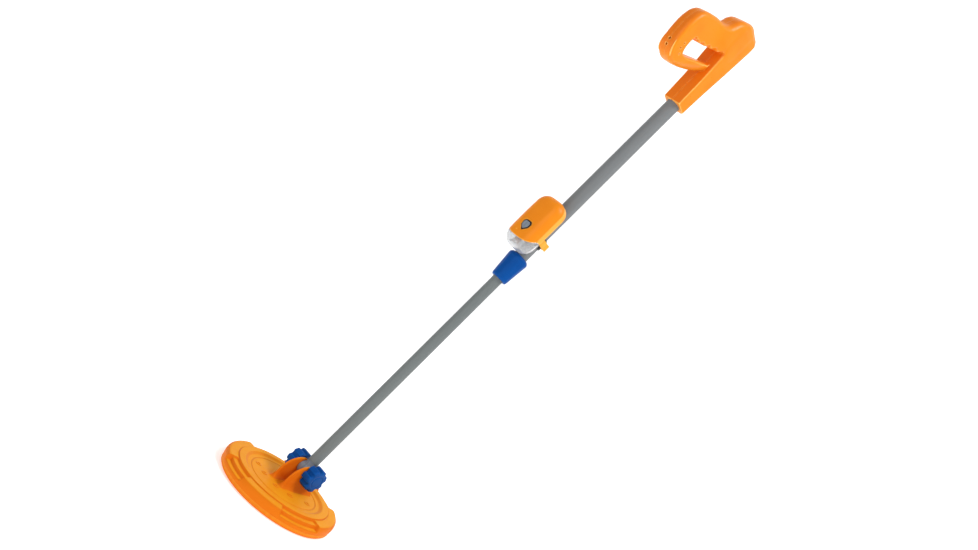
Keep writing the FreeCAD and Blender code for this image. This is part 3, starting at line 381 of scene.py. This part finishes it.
def coated_tube(name, base, dark):
    """Satin grey coating on drawn tube: faint lines along it, speckle, a few rubbed places."""
    n = Nodes(name)
    along = n.stretched((420.0, 420.0, 5.0), turned=True)
    lines = n.noise(1.0, 3.0, 0.6, along)
    colour = n.ramp(lines, [(0.3, dark), (0.62, base)])
    cloud = n.ramp(n.noise(14.0, 4.0), [(0.35, (0.93, 0.94, 0.95)), (0.7, (1.0, 1.0, 1.0))])
    colour = n.mix(1.0, colour, cloud, "MULTIPLY")
    n.join(n.mix(n.edges(0.54, 0.66), colour, tint(base, 1.6)), n.shader.inputs["Base Color"])
    n.join(n.span(n.noise(90.0, 5.0), 0.36, 0.5), n.shader.inputs["Roughness"])
    fine = n.bump(n.noise(1900.0, 2.0), 0.00003, 0.6)
    n.join(n.bump(lines, 0.00003, 0.7, fine), n.shader.inputs["Normal"])
    n.set(IOR=1.5, Specular_IOR_Level=0.3)
    return n.material


def bare_metal(name, base, rough, line=(900.0, 900.0, 30.0)):
    """Drawn or turned metal with fine lines and a little tarnish."""
    n = Nodes(name)
    lines = n.noise(1.0, 3.0, 0.6, n.stretched(line, turned=True))
    cloud = n.noise(120.0, 5.0, 0.6)
    colour = n.ramp(cloud, [(0.3, tint(base, 0.72)), (0.65, base)])
    n.join(n.mix(n.edges(0.53, 0.62), colour, tint(base, 1.2)), n.shader.inputs["Base Color"])
    n.join(n.span(cloud, rough - 0.08, rough + 0.1), n.shader.inputs["Roughness"])
    n.join(n.bump(lines, 0.00002, 0.7), n.shader.inputs["Normal"])
    n.set(Metallic=1.0)
    return n.material


def rubber(name, base):
    n = Nodes(name)
    n.join(n.ramp(n.noise(60.0, 5.0), [(0.35, tint(base, 0.7)), (0.7, base)]), n.shader.inputs["Base Color"])
    n.join(n.span(n.noise(300.0, 4.0), 0.55, 0.75), n.shader.inputs["Roughness"])
    n.join(n.bump(n.noise(1300.0, 3.0), 0.00006, 0.8), n.shader.inputs["Normal"])
    n.set(IOR=1.5)
    return n.material


def clear_plastic(name):
    """The lamp's lens: clear, with faint moulding waves and hairline scratches."""
    n = Nodes(name)
    haze = n.noise(50.0, 3.0)
    n.join(n.ramp(haze, [(0.3, (0.93, 0.95, 0.97)), (0.7, (0.99, 0.99, 1.0))]), n.shader.inputs["Base Color"])
    scratches = n.noise(1.0, 4.0, 0.7, n.stretched((1500.0, 120.0, 300.0)))
    n.join(n.span(scratches, 0.03, 0.16), n.shader.inputs["Roughness"])
    n.join(n.bump(haze, 0.0003, 0.3), n.shader.inputs["Normal"])
    n.set(IOR=1.49, Transmission_Weight=0.78)
    return n.material


def wound_wire(name, base):
    """Enamelled copper turns, seen as fine rings round the coil's axis."""
    n = Nodes(name)
    rings = n.tree.nodes.new("ShaderNodeTexWave")
    rings.wave_type = "RINGS"
    rings.rings_direction = "Z"
    rings.inputs["Scale"].default_value = 420.0
    rings.inputs["Distortion"].default_value = 0.6
    n.join(n.place, rings.inputs["Vector"])
    turns = rings.outputs["Fac"]
    n.join(n.ramp(turns, [(0.1, tint(base, 0.35)), (0.6, base)]), n.shader.inputs["Base Color"])
    n.join(n.span(n.noise(400.0), 0.25, 0.4), n.shader.inputs["Roughness"])
    n.join(n.bump(turns, 0.0002, 0.8), n.shader.inputs["Normal"])
    n.set(Metallic=0.8)
    return n.material


def circuit_board(name):
    """Green solder mask over faint straight tracks."""
    n = Nodes(name)
    tracks = n.tree.nodes.new("ShaderNodeTexBrick")
    tracks.inputs["Scale"].default_value = 260.0
    tracks.inputs["Mortar Size"].default_value = 0.06
    tracks.inputs["Color1"].default_value = (0.01, 0.13, 0.05, 1.0)
    tracks.inputs["Color2"].default_value = (0.012, 0.1, 0.04, 1.0)
    tracks.inputs["Mortar"].default_value = (0.03, 0.26, 0.09, 1.0)
    n.join(n.place, tracks.inputs["Vector"])
    n.join(tracks.outputs["Color"], n.shader.inputs["Base Color"])
    n.join(n.span(n.noise(500.0), 0.25, 0.42), n.shader.inputs["Roughness"])
    n.join(n.bump(tracks.outputs["Fac"], 0.00005, 0.5), n.shader.inputs["Normal"])
    return n.material


ORANGE = (0.92, 0.275, 0.008)
DEEP_ORANGE = (0.88, 0.235, 0.006)
# the edge colours are painted highlights; the coil's wall colour and the handle's front colour are painted
# shade
orange = moulded_plastic("orange_moulded", ORANGE, DEEP_ORANGE, 0.34, shine=0.2, edge=(1.0, 0.46, 0.06))
orange_handle = moulded_plastic("orange_moulded_handle", ORANGE, DEEP_ORANGE, 0.32, shine=0.22,
                                edge=(1.0, 0.58, 0.14), painted_front_shade=(0.82, 0.185, 0.006))
orange_coil = moulded_plastic("orange_moulded_coil", (0.98, 0.37, 0.012), (0.95, 0.32, 0.009), 0.5,
                              grain=1.2, shine=0.05, edge=(1.0, 0.5, 0.05), painted_wall_shade=(0.82, 0.19, 0.006))
blue = moulded_plastic("blue_moulded", (0.0012, 0.08, 0.35), (0.001, 0.066, 0.3), 0.42, shine=0.1)
grey = moulded_plastic("grey_moulded", (0.2, 0.23, 0.27), (0.16, 0.19, 0.23), 0.45)
dark = moulded_plastic("dark_moulded", (0.03, 0.022, 0.018), (0.02, 0.015, 0.012), 0.4)
white = moulded_plastic("white_moulded", (0.78, 0.78, 0.75), (0.7, 0.7, 0.66), 0.42)
tube = coated_tube("tube_coating", (0.135, 0.143, 0.147), (0.117, 0.125, 0.13))
tube_thin = coated_tube("tube_coating_thin", (0.122, 0.136, 0.135), (0.107, 0.118, 0.118))
steel = bare_metal("screw_steel", (0.62, 0.62, 0.63), 0.32)
brass = bare_metal("spring_brass", (0.75, 0.52, 0.2), 0.3)
chrome = bare_metal("bright_reflector", (0.92, 0.93, 0.95), 0.12)
copper = wound_wire("copper_turns", (0.8, 0.34, 0.14))
board = circuit_board("board_green")
black_rubber = rubber("black_rubber", (0.02, 0.02, 0.021))
grey_rubber = rubber("grey_rubber", (0.12, 0.12, 0.12))
lens = clear_plastic("clear_lens")
jacket = moulded_plastic("cell_jacket", (0.05, 0.2, 0.12), (0.03, 0.14, 0.08), 0.3, 0.4, 0.5)
led = moulded_plastic("led_cap", (0.93, 0.9, 0.6), (0.85, 0.82, 0.5), 0.2, 0.2, 0.5)

FINISHES = {
    "coil_base": orange_coil, "coil_housing": orange_coil, "transmit_winding": copper,
    "receive_winding": copper, "coil_screws": steel, "hinge_bolt": steel, "hinge_nut": steel,
    "knob_near": blue, "knob_far": blue, "friction_washers": grey_rubber, "pole_foot": grey,
    "foot_pin": steel, "lower_tube": tube_thin, "upper_tube": tube, "tube_bush": white, "collet": white,
    "lock_collar": blue, "lamp_cover": orange, "lamp_base": orange, "lamp_lens": lens,
    "button_bezel": dark, "lamp_button": grey, "lamp_reflector": chrome, "lamp_led": led,
    "lamp_board": board, "lamp_switch": dark, "lamp_cells": jacket, "cell_contacts": brass,
    "lamp_screws": steel, "lamp_liner": black_rubber, "handle_shell_right": orange_handle,
    "handle_shell_left": orange_handle, "handle_screws": steel, "tube_pin": steel, "battery": jacket,
    "battery_snap": dark, "buzzer": dark, "main_board": board, "power_switch": dark,
    "power_slider": dark, "battery_door": orange_handle,
}
for node_name, node in frame["nodes"].items():
    node.data.materials.clear()
    node.data.materials.append(FINISHES[node_name])


# ---------------------------------------------------------------- handle

LOOP_OUTSIDE = [(752, 9), (747, 22), (735, 45), (725, 62), (716, 79), (712.5, 91), (714.5, 102), (722, 111),
                (733, 116), (747, 119), (762, 120), (777, 117.5), (787, 112), (794, 103.5), (799.5, 94),
                (804.5, 84.5), (808.5, 75.5), (812, 66), (816, 57.8), (822, 51.3), (829.5, 47), (838, 43),
                (845.5, 36.5), (850.5, 27.5), (854, 9)]
FINGER_OPENING = [(760, 90), (746, 90.5), (735, 85), (739, 72), (750, 55), (763, 34), (773, 19), (796, 19),
                  (791, 31), (783, 45), (775, 58), (767, 72), (762, 83)]
GRIP_FOOT, GRIP_HEAD = np.array([793.0, 26.0]), np.array([762.0, 84.0])
HANDLE_SCREWS = [(726.0, 74.0), (779.0, 105.0), (803.0, 62.0), (840.5, 12.0)]
# sections of the sleeve: along the pole, half width, top, bottom, top corner, bottom corner
SLEEVE = np.array([(704, 14.8, 12.0, -13.5, 1.5, 5.0), (750, 15.4, 14.5, -16.0, 1.6, 5.5),
                   (790, 16.7, 20.0, -18.5, 3.0, 6.5), (840, 16.6, 27.0, -23.5, 8.0, 8.0),
                   (851, 15.8, 24.0, -24.0, 8.0, 8.0), (857, 13.6, 19.0, -20.5, 8.0, 8.0)])


def finger_line():
    """The finger opening, with four shallow finger hollows along the grip."""
    line = curve_through(FINGER_OPENING, True)
    grip = GRIP_HEAD - GRIP_FOOT
    length = np.linalg.norm(grip)
    grip = grip / length
    out = np.array([-grip[1], grip[0]])
    out = out if out[0] > 0 else -out
    share = (line - GRIP_FOOT) @ grip / length
    away = np.abs((line - GRIP_FOOT) @ out)
    weight = step(share, -0.02, 0.08) * (1 - step(share, 0.92, 1.02)) * (away < 8)
    return line + out * (weight * 1.5 * np.cos(2 * np.pi * 4 * share))[:, None]


outside = Outline(np.vstack([curve_through(LOOP_OUTSIDE, False), [(852, 3), (752, 3)]]), 40.0)
opening = Outline(finger_line(), 60.0)
grip_space = Outline([(801, 14), (795.5, 32), (787, 47.5), (778.5, 61), (770, 77), (767.5, 93), (788, 98),
                      (802, 78), (808, 60), (820, 42), (838, 26), (838, 14)])
front_space = Outline([(716.5, 91), (720, 104), (740, 113), (754, 115), (754, 96), (730, 90)])
SOUND_HOLES = ((741.0, 99.0), (733.0, 98.0), (728.0, 91.0))
FRONT_HOLES = ((732.0, 111.0), (724.0, 108.0))
SLIDER_PLACE = (806.0, 8.0)
TUBE_PIN_PLACE = 752.0
TUBE_SEAT_END = 766.0
GRIP_HALF = 12.5
WALL = 2.2
SEAM_GAP = 0.03


def sleeve_field(x, y, z, inset=0.0):
    """Distance to the sleeve, a rounded box whose section changes along the pole."""
    columns = [np.interp(z, SLEEVE[:, 0], SLEEVE[:, i]) for i in range(1, 6)]
    half, top, bottom, round_top, round_low = columns
    up = -x
    radius = np.where(up > (top + bottom) / 2, round_top, round_low)
    across = np.abs(y) - half + inset
    tall = np.maximum(up - top, bottom - up) + inset
    section = rounded(across, tall, np.maximum(radius - inset / 2, 0.5))
    ends = np.maximum(704.0 + inset - z, z - 857.0 + inset)
    return rounded(section, ends, 1.4)


def handle_outside(x, y, z):
    """The whole outside of the handle, both halves together."""
    up = -x
    away = np.abs(y)
    # the guard is a boat's prow: its sides sweep back to a point on the sleeve
    ahead = 1 - step(z, 778.0, 796.0)
    swept = np.interp(up, [14.0, 21.0, 34.0, 45.0, 62.0, 86.0], [16.0, 14.0, 9.0, 8.0, 5.5, 0.0]) * ahead
    lifted = np.interp(up, [10.0, 20.0, 30.0, 45.0, 60.0], [11.0, 9.0, 4.5, 1.0, 0.0]) * ahead
    flat = outside(z, up) + lifted
    edge = 7.2 + 2.0 * step(z, 806.0, 822.0)
    half = GRIP_HALF + 4.2 * step(z, 780.0, 806.0) * (1 - step(up, 28.0, 78.0))
    loop = rounded(flat + swept * (away / GRIP_HALF) ** 2.4, away - half, edge)
    window = rounded(-opening(z, up), away - half, 3.4)
    loop = smooth_max(loop, window, 0.6)
    sleeve = sleeve_field(x, y, z)
    blend = 0.8 + 9.0 * step(z, 786.0, 812.0)
    whole = smooth_min(loop, sleeve, blend)
    # a slim bead along each side of the loop's front
    fade = step(up, 92.0, 106.0) * (1 - step(up, 108.0, 122.0)) * (1 - step(z, 730.0, 750.0))
    bead = np.hypot(away - 10.2, flat + 1.0) + 1.5 - 2.75 * fade
    whole = smooth_min(whole, bead, 1.4)
    width = np.interp(z, SLEEVE[:, 0], SLEEVE[:, 1])
    return smooth_max(whole, away - width - 0.15, 1.5)


def bar(across_z, across_up, radius, y, z, up, low, high):
    """A round bar across the handle, from low to high."""
    return np.maximum(np.hypot(z - across_z, up - across_up) - radius, np.maximum(low - y, y - high))


def handle_field(side):
    """One half of the handle, hollow, with its bosses, screw seats, sound holes and slots."""
    def field(x, y, z):
        up = -x
        skin = handle_outside(x, y, z)
        bore = np.maximum(np.hypot(x, y) - 10.56, z - TUBE_SEAT_END)
        rear = np.maximum(sleeve_field(x, y, z, WALL), np.maximum(768.0 - z, z - 852.0))
        inner = np.abs(y) - (GRIP_HALF - WALL - 0.4)
        space = np.minimum(np.maximum(grip_space(z, up), inner), np.maximum(front_space(z, up), inner))
        space = np.minimum(space, rear)
        # the space stays a wall's thickness inside the skin everywhere
        space = np.maximum(space, skin + 1.8)
        solid = np.maximum(skin, -np.minimum(space, bore))
        for along, high in HANDLE_SCREWS:
            post = np.hypot(z - along, up - high)
            solid = np.minimum(solid, np.maximum(post - 3.6, skin))
            solid = np.maximum(solid, -bar(along, high, 3.0, y, z, up, 6.0, 40.0))
            solid = np.maximum(solid, -bar(along, high, 1.42, y, z, up, -7.0, 40.0))
        for along, high in FRONT_HOLES:
            # these point forwards and up, square to the loop's front
            dx, dz = x + high, z - along
            run = -dx * 0.8 - dz * 0.6
            off = np.hypot(np.hypot(dx + 0.8 * run, dz + 0.6 * run), y)
            solid = np.maximum(solid, -np.maximum(off - 1.6, np.abs(run) - 9.0))
        if side < 0:
            for along, high in SOUND_HOLES:
                solid = np.maximum(solid, -bar(along, high, 1.2, y, z, up, -30.0, -8.0))
        else:
            slot = np.maximum(np.abs(z - SLIDER_PLACE[0]) - 5.0, np.abs(up - SLIDER_PLACE[1]) - 2.4)
            solid = np.maximum(solid, -np.maximum(slot, 8.0 - y))
        door = np.maximum(np.maximum(783.7 - z, z - 836.3), np.abs(y) - 13.8)
        solid = np.maximum(solid, -np.maximum(door, 10.0 - x))
        solid = np.maximum(solid, -bar(TUBE_PIN_PLACE, 0.0, 1.62, y, z, up, -12.0, 12.0))
        return np.maximum(solid, SEAM_GAP - side * y)
    return field


def seam_edge(points, side):
    """Draws the points next to the seam out to its crisp edge, so that the two halves meet there."""
    x, y, z = points.T
    skin = handle_outside(x, np.full_like(y, SEAM_GAP), z)
    close = (np.abs(y) < 0.7 * HANDLE_PITCH) & (np.abs(skin) < 0.7 * HANDLE_PITCH)
    for _ in range(3):
        x, z = points[close, 0], points[close, 2]
        zero = np.zeros_like(x)
        here = handle_outside(x, zero, z)
        slope_x = (handle_outside(x + 0.05, zero, z) - handle_outside(x - 0.05, zero, z)) / 0.1
        slope_z = (handle_outside(x, zero, z + 0.05) - handle_outside(x, zero, z - 0.05)) / 0.1
        share = here / np.maximum(slope_x ** 2 + slope_z ** 2, 0.2)
        points[close, 0] -= share * slope_x
        points[close, 2] -= share * slope_z
    points[close, 1] = side * SEAM_GAP


HANDLE_PITCH = 0.8
for piece_name, side, node_name in (("handle_near_half", -1, "handle_shell_left"),
                                    ("handle_far_half", 1, "handle_shell_right")):
    low_y, high_y = (-19.0, 1.0) if side < 0 else (-1.0, 19.0)
    points, quads = net(handle_field(side), (-124, low_y, 701), (28, high_y, 860), HANDLE_PITCH)
    seam_edge(points, side)
    piece(piece_name, (points, quads), "handle", node_name, orange_handle)


# ---------------------------------------------------------------- search coil

RECESSES = [(154.0, 186.0), (-130.0, -88.0), (-26.0, 6.0), (50.0, 92.0)]
# heights of the top by radius: the hub and its ring are the same all round, the lobes and recesses take turns
HUB_PROFILE = [(0, 18.0), (49.6, 18.0), (50.1, 17.3), (51.1, 17.3), (51.6, 18.0), (55.5, 18.0), (56.8, 18.2),
               (61.2, 20.4), (62.2, 20.5), (70.0, 20.5)]
LOBE_PROFILE = np.array(HUB_PROFILE + [(70.7, 20.2), (71.0, 18.7), (71.7, 18.7), (72.3, 19.3), (82.5, 18.8),
                                       (84.6, 18.1), (86.0, 16.6), (86.7, 14.6), (87.2, 11.0)])
RECESS_PROFILE = np.array(HUB_PROFILE + [(70.9, 20.1), (72.0, 17.1), (72.6, 16.6), (78.4, 16.6), (79.2, 16.2),
                                         (80.0, 12.6), (80.8, 12.0), (85.2, 11.7), (86.3, 11.0), (87.0, 9.6)])
CAVITY_RADIUS = 81.6
COIL_SCREW_CIRCLE = 60.0
COIL_CEILING = np.array([(0, 15.1), (55, 15.1), (62, 18.0), (68.2, 18.0), (68.6, 14.2), (76.6, 14.2),
                         (77.0, 9.6), (90, 9.6)])
EAR_OUTLINE = [(-34.5, 15.0), (-34.0, 21.0), (-33.0, 30.0), (-28.5, 42.5), (-21.0, 50.5), (-11.0, 55.3),
               (0.0, 56.3), (10.5, 51.5), (17.0, 41.0), (21.0, 29.0), (23.3, 21.0), (23.8, 15.0)]
HUB_PIPS = [(-24.3, -10.6), (-8.0, -26.1), (-24.6, 33.3), (-28.2, 13.6), (18.9, -36.1), (37.0, 26.0)]
ear_shape = Outline(curve_through(EAR_OUTLINE, False) + np.array([PIVOT[0], 0.0]))


def top_of_coil(x, y):
    """How high the coil's top is at a place on it."""
    radius = np.hypot(x, y)
    lobe = np.interp(radius, LOBE_PROFILE[:, 0], LOBE_PROFILE[:, 1])
    recess = np.interp(radius, RECESS_PROFILE[:, 0], RECESS_PROFILE[:, 1])
    angle = np.degrees(np.arctan2(y, x))
    share = np.zeros_like(radius)
    for begin, finish in RECESSES:
        middle, half = (begin + finish) / 2, (finish - begin) / 2
        turn = np.abs((angle - middle + 180) % 360 - 180)
        share = np.maximum(share, 1 - step(turn, half - 1.0, half + 1.0))
    height = lobe + (recess - lobe) * share
    for px, py in HUB_PIPS:
        off = np.hypot(x - px, y - py)
        height = height + 0.9 * step(off, 1.6, 2.4) * (1 - step(off, 3.5, 4.4))
    return height


def coil_field(x, y, z):
    """The coil's upper shell, open below, with its screw posts and the two hinge ears."""
    radius = np.hypot(x, y)
    top = top_of_coil(x, y)
    side = np.interp(z, [6.5, 11.5, 14.6, 18.0], [86.4, 87.0, 86.9, 86.0])
    disc = np.maximum((z - top) * 0.7, radius - side)
    inside = np.maximum(z - np.interp(radius, COIL_CEILING[:, 0], COIL_CEILING[:, 1]), radius - CAVITY_RADIUS)
    posts = np.full_like(x, 1e3)
    for index in range(6):
        angle = math.radians(30 + 60 * index)
        post_x, post_y = COIL_SCREW_CIRCLE * math.cos(angle), COIL_SCREW_CIRCLE * math.sin(angle)
        posts = np.minimum(posts, np.hypot(x - post_x, y - post_y))
    shell = np.maximum(disc, -inside)
    shell = np.minimum(shell, np.maximum(np.maximum(posts - 4.0, 2.3 - z), (z - top) * 0.7 + 0.3))
    shell = np.maximum(shell, -np.maximum(posts - 1.42, z - 11.0))
    away = np.abs(y)
    flare = np.clip((36.0 - z) / 18.0, 0.0, 1.0) * step(x, PIVOT[0] - 33.0, PIVOT[0] - 12.0)
    middle = 10.0 + 2.4 * flare ** 2
    half = 1.5 + 2.4 * flare ** 2
    ear = rounded(ear_shape(x, z), np.abs(away - middle) - half, 1.1)
    ear = np.maximum(ear, 15.6 - z)
    # each ear runs out to the front in a soft fillet on the hub
    soft = 0.9 + 7.0 * (1 - step(x, PIVOT[0] - 34.0, PIVOT[0] - 6.0))
    joined = smooth_min(shell, ear, soft)
    bore = np.hypot(x - PIVOT[0], z - PIVOT[2]) - 3.05
    low_cut = np.where((radius < CAVITY_RADIUS) & (z < 6.5), 2.3 - z, 6.5 - z)
    return np.maximum(np.maximum(joined, -bore), low_cut)


COIL_PITCH = 0.8
shape = net(coil_field, (-90, -90, 1), (90, 90, 60), COIL_PITCH)
piece("coil_top_shell", shape, "coil", "coil_housing", orange_coil, on_pole=False)


# ---------------------------------------------------------------- knobs

KNOB_LOBES = 7
COLLAR_FLATS = 10


def fold(angle, count):
    """The angle from the middle of the nearest of count equal sectors."""
    half = math.pi / count
    return (angle + half) % (2 * half) - half


def knob_field(side):
    """A clamping knob with seven rounded lobes and a dished, slightly domed face."""
    def field(x, y, z):
        dx, dz = x - PIVOT[0], z - PIVOT[2]
        along = side * y
        radius = np.hypot(dx, dz)
        turn = fold(np.arctan2(dz, dx), KNOB_LOBES)
        notch = np.hypot((radius * np.cos(turn) - 17.2) * 0.9, radius * np.sin(turn)) - 3.3
        flat = smooth_max(radius - 16.6, -notch, 0.9)
        thick = np.maximum(11.8 - along, along - 27.4 + 0.0035 * radius ** 2)
        edge = np.where(along > 19.6, 2.2, 1.0)
        solid = rounded(flat, thick, edge)
        dish = np.abs(radius - 8.3) - 0.7
        solid = smooth_max(solid, -np.maximum(dish, 26.6 - along), 0.6)
        hole = np.maximum(radius - 3.06, along - 23.0)
        seat = np.maximum(radius - 5.1, along - 22.9)
        # the bolt's head sits deep in the near knob, the nut at the mouth of the far one
        seat = np.maximum(seat, -side * (18.5 - along))
        return np.maximum(solid, -np.minimum(hole, seat))
    return field


KNOB_PITCH = 0.6
for piece_name, side, body, node_name in (("near_clamp_knob", -1, "near_knob", "knob_near"),
                                          ("far_clamp_knob", 1, "far_knob", "knob_far")):
    low_y, high_y = (-29.0, -10.0) if side < 0 else (10.0, 29.0)
    low = (PIVOT[0] - 18.5, low_y, PIVOT[2] - 18.5)
    high = (PIVOT[0] + 18.5, high_y, PIVOT[2] + 18.5)
    shape = net(knob_field(side), low, high, KNOB_PITCH)
    piece(piece_name, shape, body, node_name, blue, on_pole=False)


# ---------------------------------------------------------------- twist-lock collar

COLLAR_OUTSIDE = np.array([(357.6, 11.0), (358.2, 11.8), (360.6, 12.6), (395.2, 15.8), (396.9, 15.7),
                           (398.2, 14.7), (400.0, 13.2)])
COLLAR_BORE = np.array([(357.6, 8.35), (360.5, 8.35), (361.0, 10.4), (371.0, 11.4), (387.0, 11.9),
                        (392.3, 11.9), (392.5, 10.6), (400.0, 10.6)])


def collar_field(x, y, z):
    """The collar: a cone with ten shallow flats, and its stepped bore."""
    radius = np.hypot(x, y)
    turn = fold(np.arctan2(y, x), COLLAR_FLATS)
    full = np.interp(z, COLLAR_OUTSIDE[:, 0], COLLAR_OUTSIDE[:, 1])
    flats = smooth_max(radius * np.cos(turn) - full * 0.972, radius - full, 0.5)
    waist = step(z, 360.0, 364.0) * (1 - step(z, 391.5, 394.5))
    outer = (radius - full) * (1 - waist) + flats * waist
    bore = radius - np.interp(z, COLLAR_BORE[:, 0], COLLAR_BORE[:, 1])
    return np.maximum(smooth_max(outer, np.maximum(357.6 - z, z - 400.0), 0.8), -bore)


shape = net(collar_field, (-18, -18, 356), (18, 18, 402), KNOB_PITCH)
piece("twist_collar", shape, "collar", "lock_collar", blue)


# ---------------------------------------------------------------- lamp cover and lens

BUTTON_PLACE = 429.7
BOARD_POSTS = (433.0, 468.0)
LAMP_MIDDLE = 442.5
LAMP_HALF_LENGTH = 43.5
LAMP_HALF_WIDTH = 23.5


def shield_outline(half_width, half_length):
    """The button's outline, square towards the handle and pointed towards the coil."""
    shares = [(1.0, -0.62), (1.0, 0.62), (0.55, 1.0), (-0.2, 0.86), (-1.0, 0.0), (-0.2, -0.86), (0.55, -1.0)]
    line = [(BUTTON_PLACE + half_length * along, half_width * across) for along, across in shares]
    return Outline(line, 20.0, 0.3)


bezel_hole = shield_outline(7.2, 8.2)
lens_front = Outline([(380, -20), (424.5, -20), (424.5, 28), (410, 43.8), (410, 70), (380, 70)], 30.0)


def lamp_skin(x, y, z, inset=0.0):
    """The lamp's outside: a pillow with a crowned top and tight corners below."""
    up = -x
    corner = 17.0
    a = np.abs(z - LAMP_MIDDLE) - LAMP_HALF_LENGTH + corner
    b = np.abs(y) - LAMP_HALF_WIDTH + corner
    plan = np.hypot(np.maximum(a, 0), np.maximum(b, 0)) + np.minimum(np.maximum(a, b), 0) - corner
    crown = 44.1 - 2.6 * (y / LAMP_HALF_WIDTH) ** 2 - 1.6 * ((z - LAMP_MIDDLE) / LAMP_HALF_LENGTH) ** 2
    tall = np.where(up > 30.0, up - crown, 17.8 - up) + inset
    radius = np.where(up > 30.0, 12.5, 5.0) - inset / 2
    return rounded(plan + inset, tall, radius)


def cover_field(x, y, z):
    """The lamp's upper half, with its screw posts and the button's opening."""
    up = -x
    solid = np.maximum(lamp_skin(x, y, z), -lamp_skin(x, y, z, 2.0))
    for along in BOARD_POSTS:
        post = np.hypot(z - along, np.abs(y) - 18.8)
        solid = np.minimum(solid, np.maximum(post - 2.8, lamp_skin(x, y, z) + 0.4))
        solid = np.maximum(solid, -np.maximum(post - 1.12, up - 37.0))
    solid = smooth_max(solid, -lens_front(z, up), 0.9)
    solid = np.maximum(solid, -np.maximum(bezel_hole(z, y) - 0.05, 36.0 - up))
    return np.maximum(solid, 30.02 - up)


def lens_field(x, y, z):
    """The clear front of the lamp, inside the same outline."""
    solid = np.maximum(lamp_skin(x, y, z, 0.05), -lamp_skin(x, y, z, 1.7))
    return np.maximum(solid, lens_front(z, -x) + 0.05)


LAMP_PITCH = 0.6
shape = net(cover_field, (-47, -26, 397), (-28, 26, 489), LAMP_PITCH)
piece("lamp_crown", shape, "lamp", "lamp_cover", orange)
shape = net(lens_field, (-47, -26, 397), (-15, 26, 427), LAMP_PITCH)
piece("lamp_window", shape, "lamp", "lamp_lens", lens)


# ---------------------------------------------------------------- stage, light and camera

def sweep():
    """A pale floor that curves up into a backdrop behind the object."""
    floor, reach, bend, top = -0.0006, 1.4, 1.6, 4.6
    toward = math.radians(35.0)
    ahead = np.array([math.cos(toward), math.sin(toward)])
    aside = np.array([-ahead[1], ahead[0]])
    profile = [(-3.5, floor), (reach, floor)]
    for index in range(1, 17):
        turn = math.pi / 2 * index / 16
        profile.append((reach + bend * math.sin(turn), floor + bend * (1 - math.cos(turn))))
    profile.append((reach + bend, top))
    rows = []
    for along, height in profile:
        for width in (-5.0, 5.0):
            spot = ahead * along + aside * width
            rows.append((spot[0], spot[1], height))
    faces = [(2 * i, 2 * i + 1, 2 * i + 3, 2 * i + 2) for i in range(len(profile) - 1)]
    mesh = bpy.data.meshes.new("studio_sweep")
    mesh.from_pydata(rows, [], faces)
    mesh.polygons.foreach_set("use_smooth", [True] * len(faces))
    thing = bpy.data.objects.new("studio_sweep", mesh)
    bpy.context.scene.collection.objects.link(thing)
    n = Nodes("pale_paper")
    n.join(n.ramp(n.noise(3.0), [(0.3, (0.93, 0.93, 0.93)), (0.7, (0.96, 0.96, 0.96))]),
           n.shader.inputs["Base Color"])
    n.set(Roughness=0.9, Emission_Color=(1.0, 1.0, 1.0, 1.0), Emission_Strength=0.42)
    mesh.materials.append(n.material)


def area_light(name, place, aim, side, power):
    data = bpy.data.lights.new(name, "AREA")
    data.shape = "SQUARE"
    data.size = side
    data.energy = power
    lamp = bpy.data.objects.new(name, data)
    lamp.location = place
    lamp.rotation_euler = (Vector(aim) - Vector(place)).to_track_quat("-Z", "Y").to_euler()
    bpy.context.scene.collection.objects.link(lamp)


def room():
    """An even white room that lights the object; past the sweep, it looks as white as the floor."""
    world = bpy.data.worlds.new("soft_room")
    world.use_nodes = True
    tree = world.node_tree
    lighting = tree.nodes["Background"]
    seen = tree.nodes.new("ShaderNodeBackground")
    for background, strength in ((lighting, 0.42), (seen, 1.0)):
        background.inputs["Color"].default_value = (1.0, 1.0, 1.0, 1.0)
        background.inputs["Strength"].default_value = strength
    path = tree.nodes.new("ShaderNodeLightPath")
    either = tree.nodes.new("ShaderNodeMixShader")
    tree.links.new(path.outputs["Is Camera Ray"], either.inputs[0])
    tree.links.new(lighting.outputs[0], either.inputs[1])
    tree.links.new(seen.outputs[0], either.inputs[2])
    tree.links.new(either.outputs[0], tree.nodes["World Output"].inputs["Surface"])
    bpy.context.scene.world = world


sweep()
area_light("key", (0.3, -1.7, 2.7), (0.1, 0.0, 0.4), 1.1, 44.0)
area_light("fill", (-2.4, -0.7, 1.3), (0.1, 0.0, 0.4), 1.8, 14.0)
room()
bpy.context.scene.view_settings.view_transform = "Standard"

camera_data = bpy.data.cameras.new("camera")
camera_data.lens = 37.204
camera_data.sensor_width = 36.0
camera_data.sensor_fit = "HORIZONTAL"
camera_data.clip_end = 30.0
camera = bpy.data.objects.new("camera", camera_data)
right = (0.46874608, -0.6223575, 0.62685585)
upward = (-0.33432224, 0.53186246, 0.77804303)
backward = (-0.81762201, -0.57427647, 0.04124049)
camera.matrix_world = (Matrix.Translation((-1.0373884, -0.7748638, 0.4494024))
                       @ Matrix((right, upward, backward)).transposed().to_4x4())
bpy.context.scene.collection.objects.link(camera)
bpy.context.scene.camera = camera

bpy.context.view_layer.update()
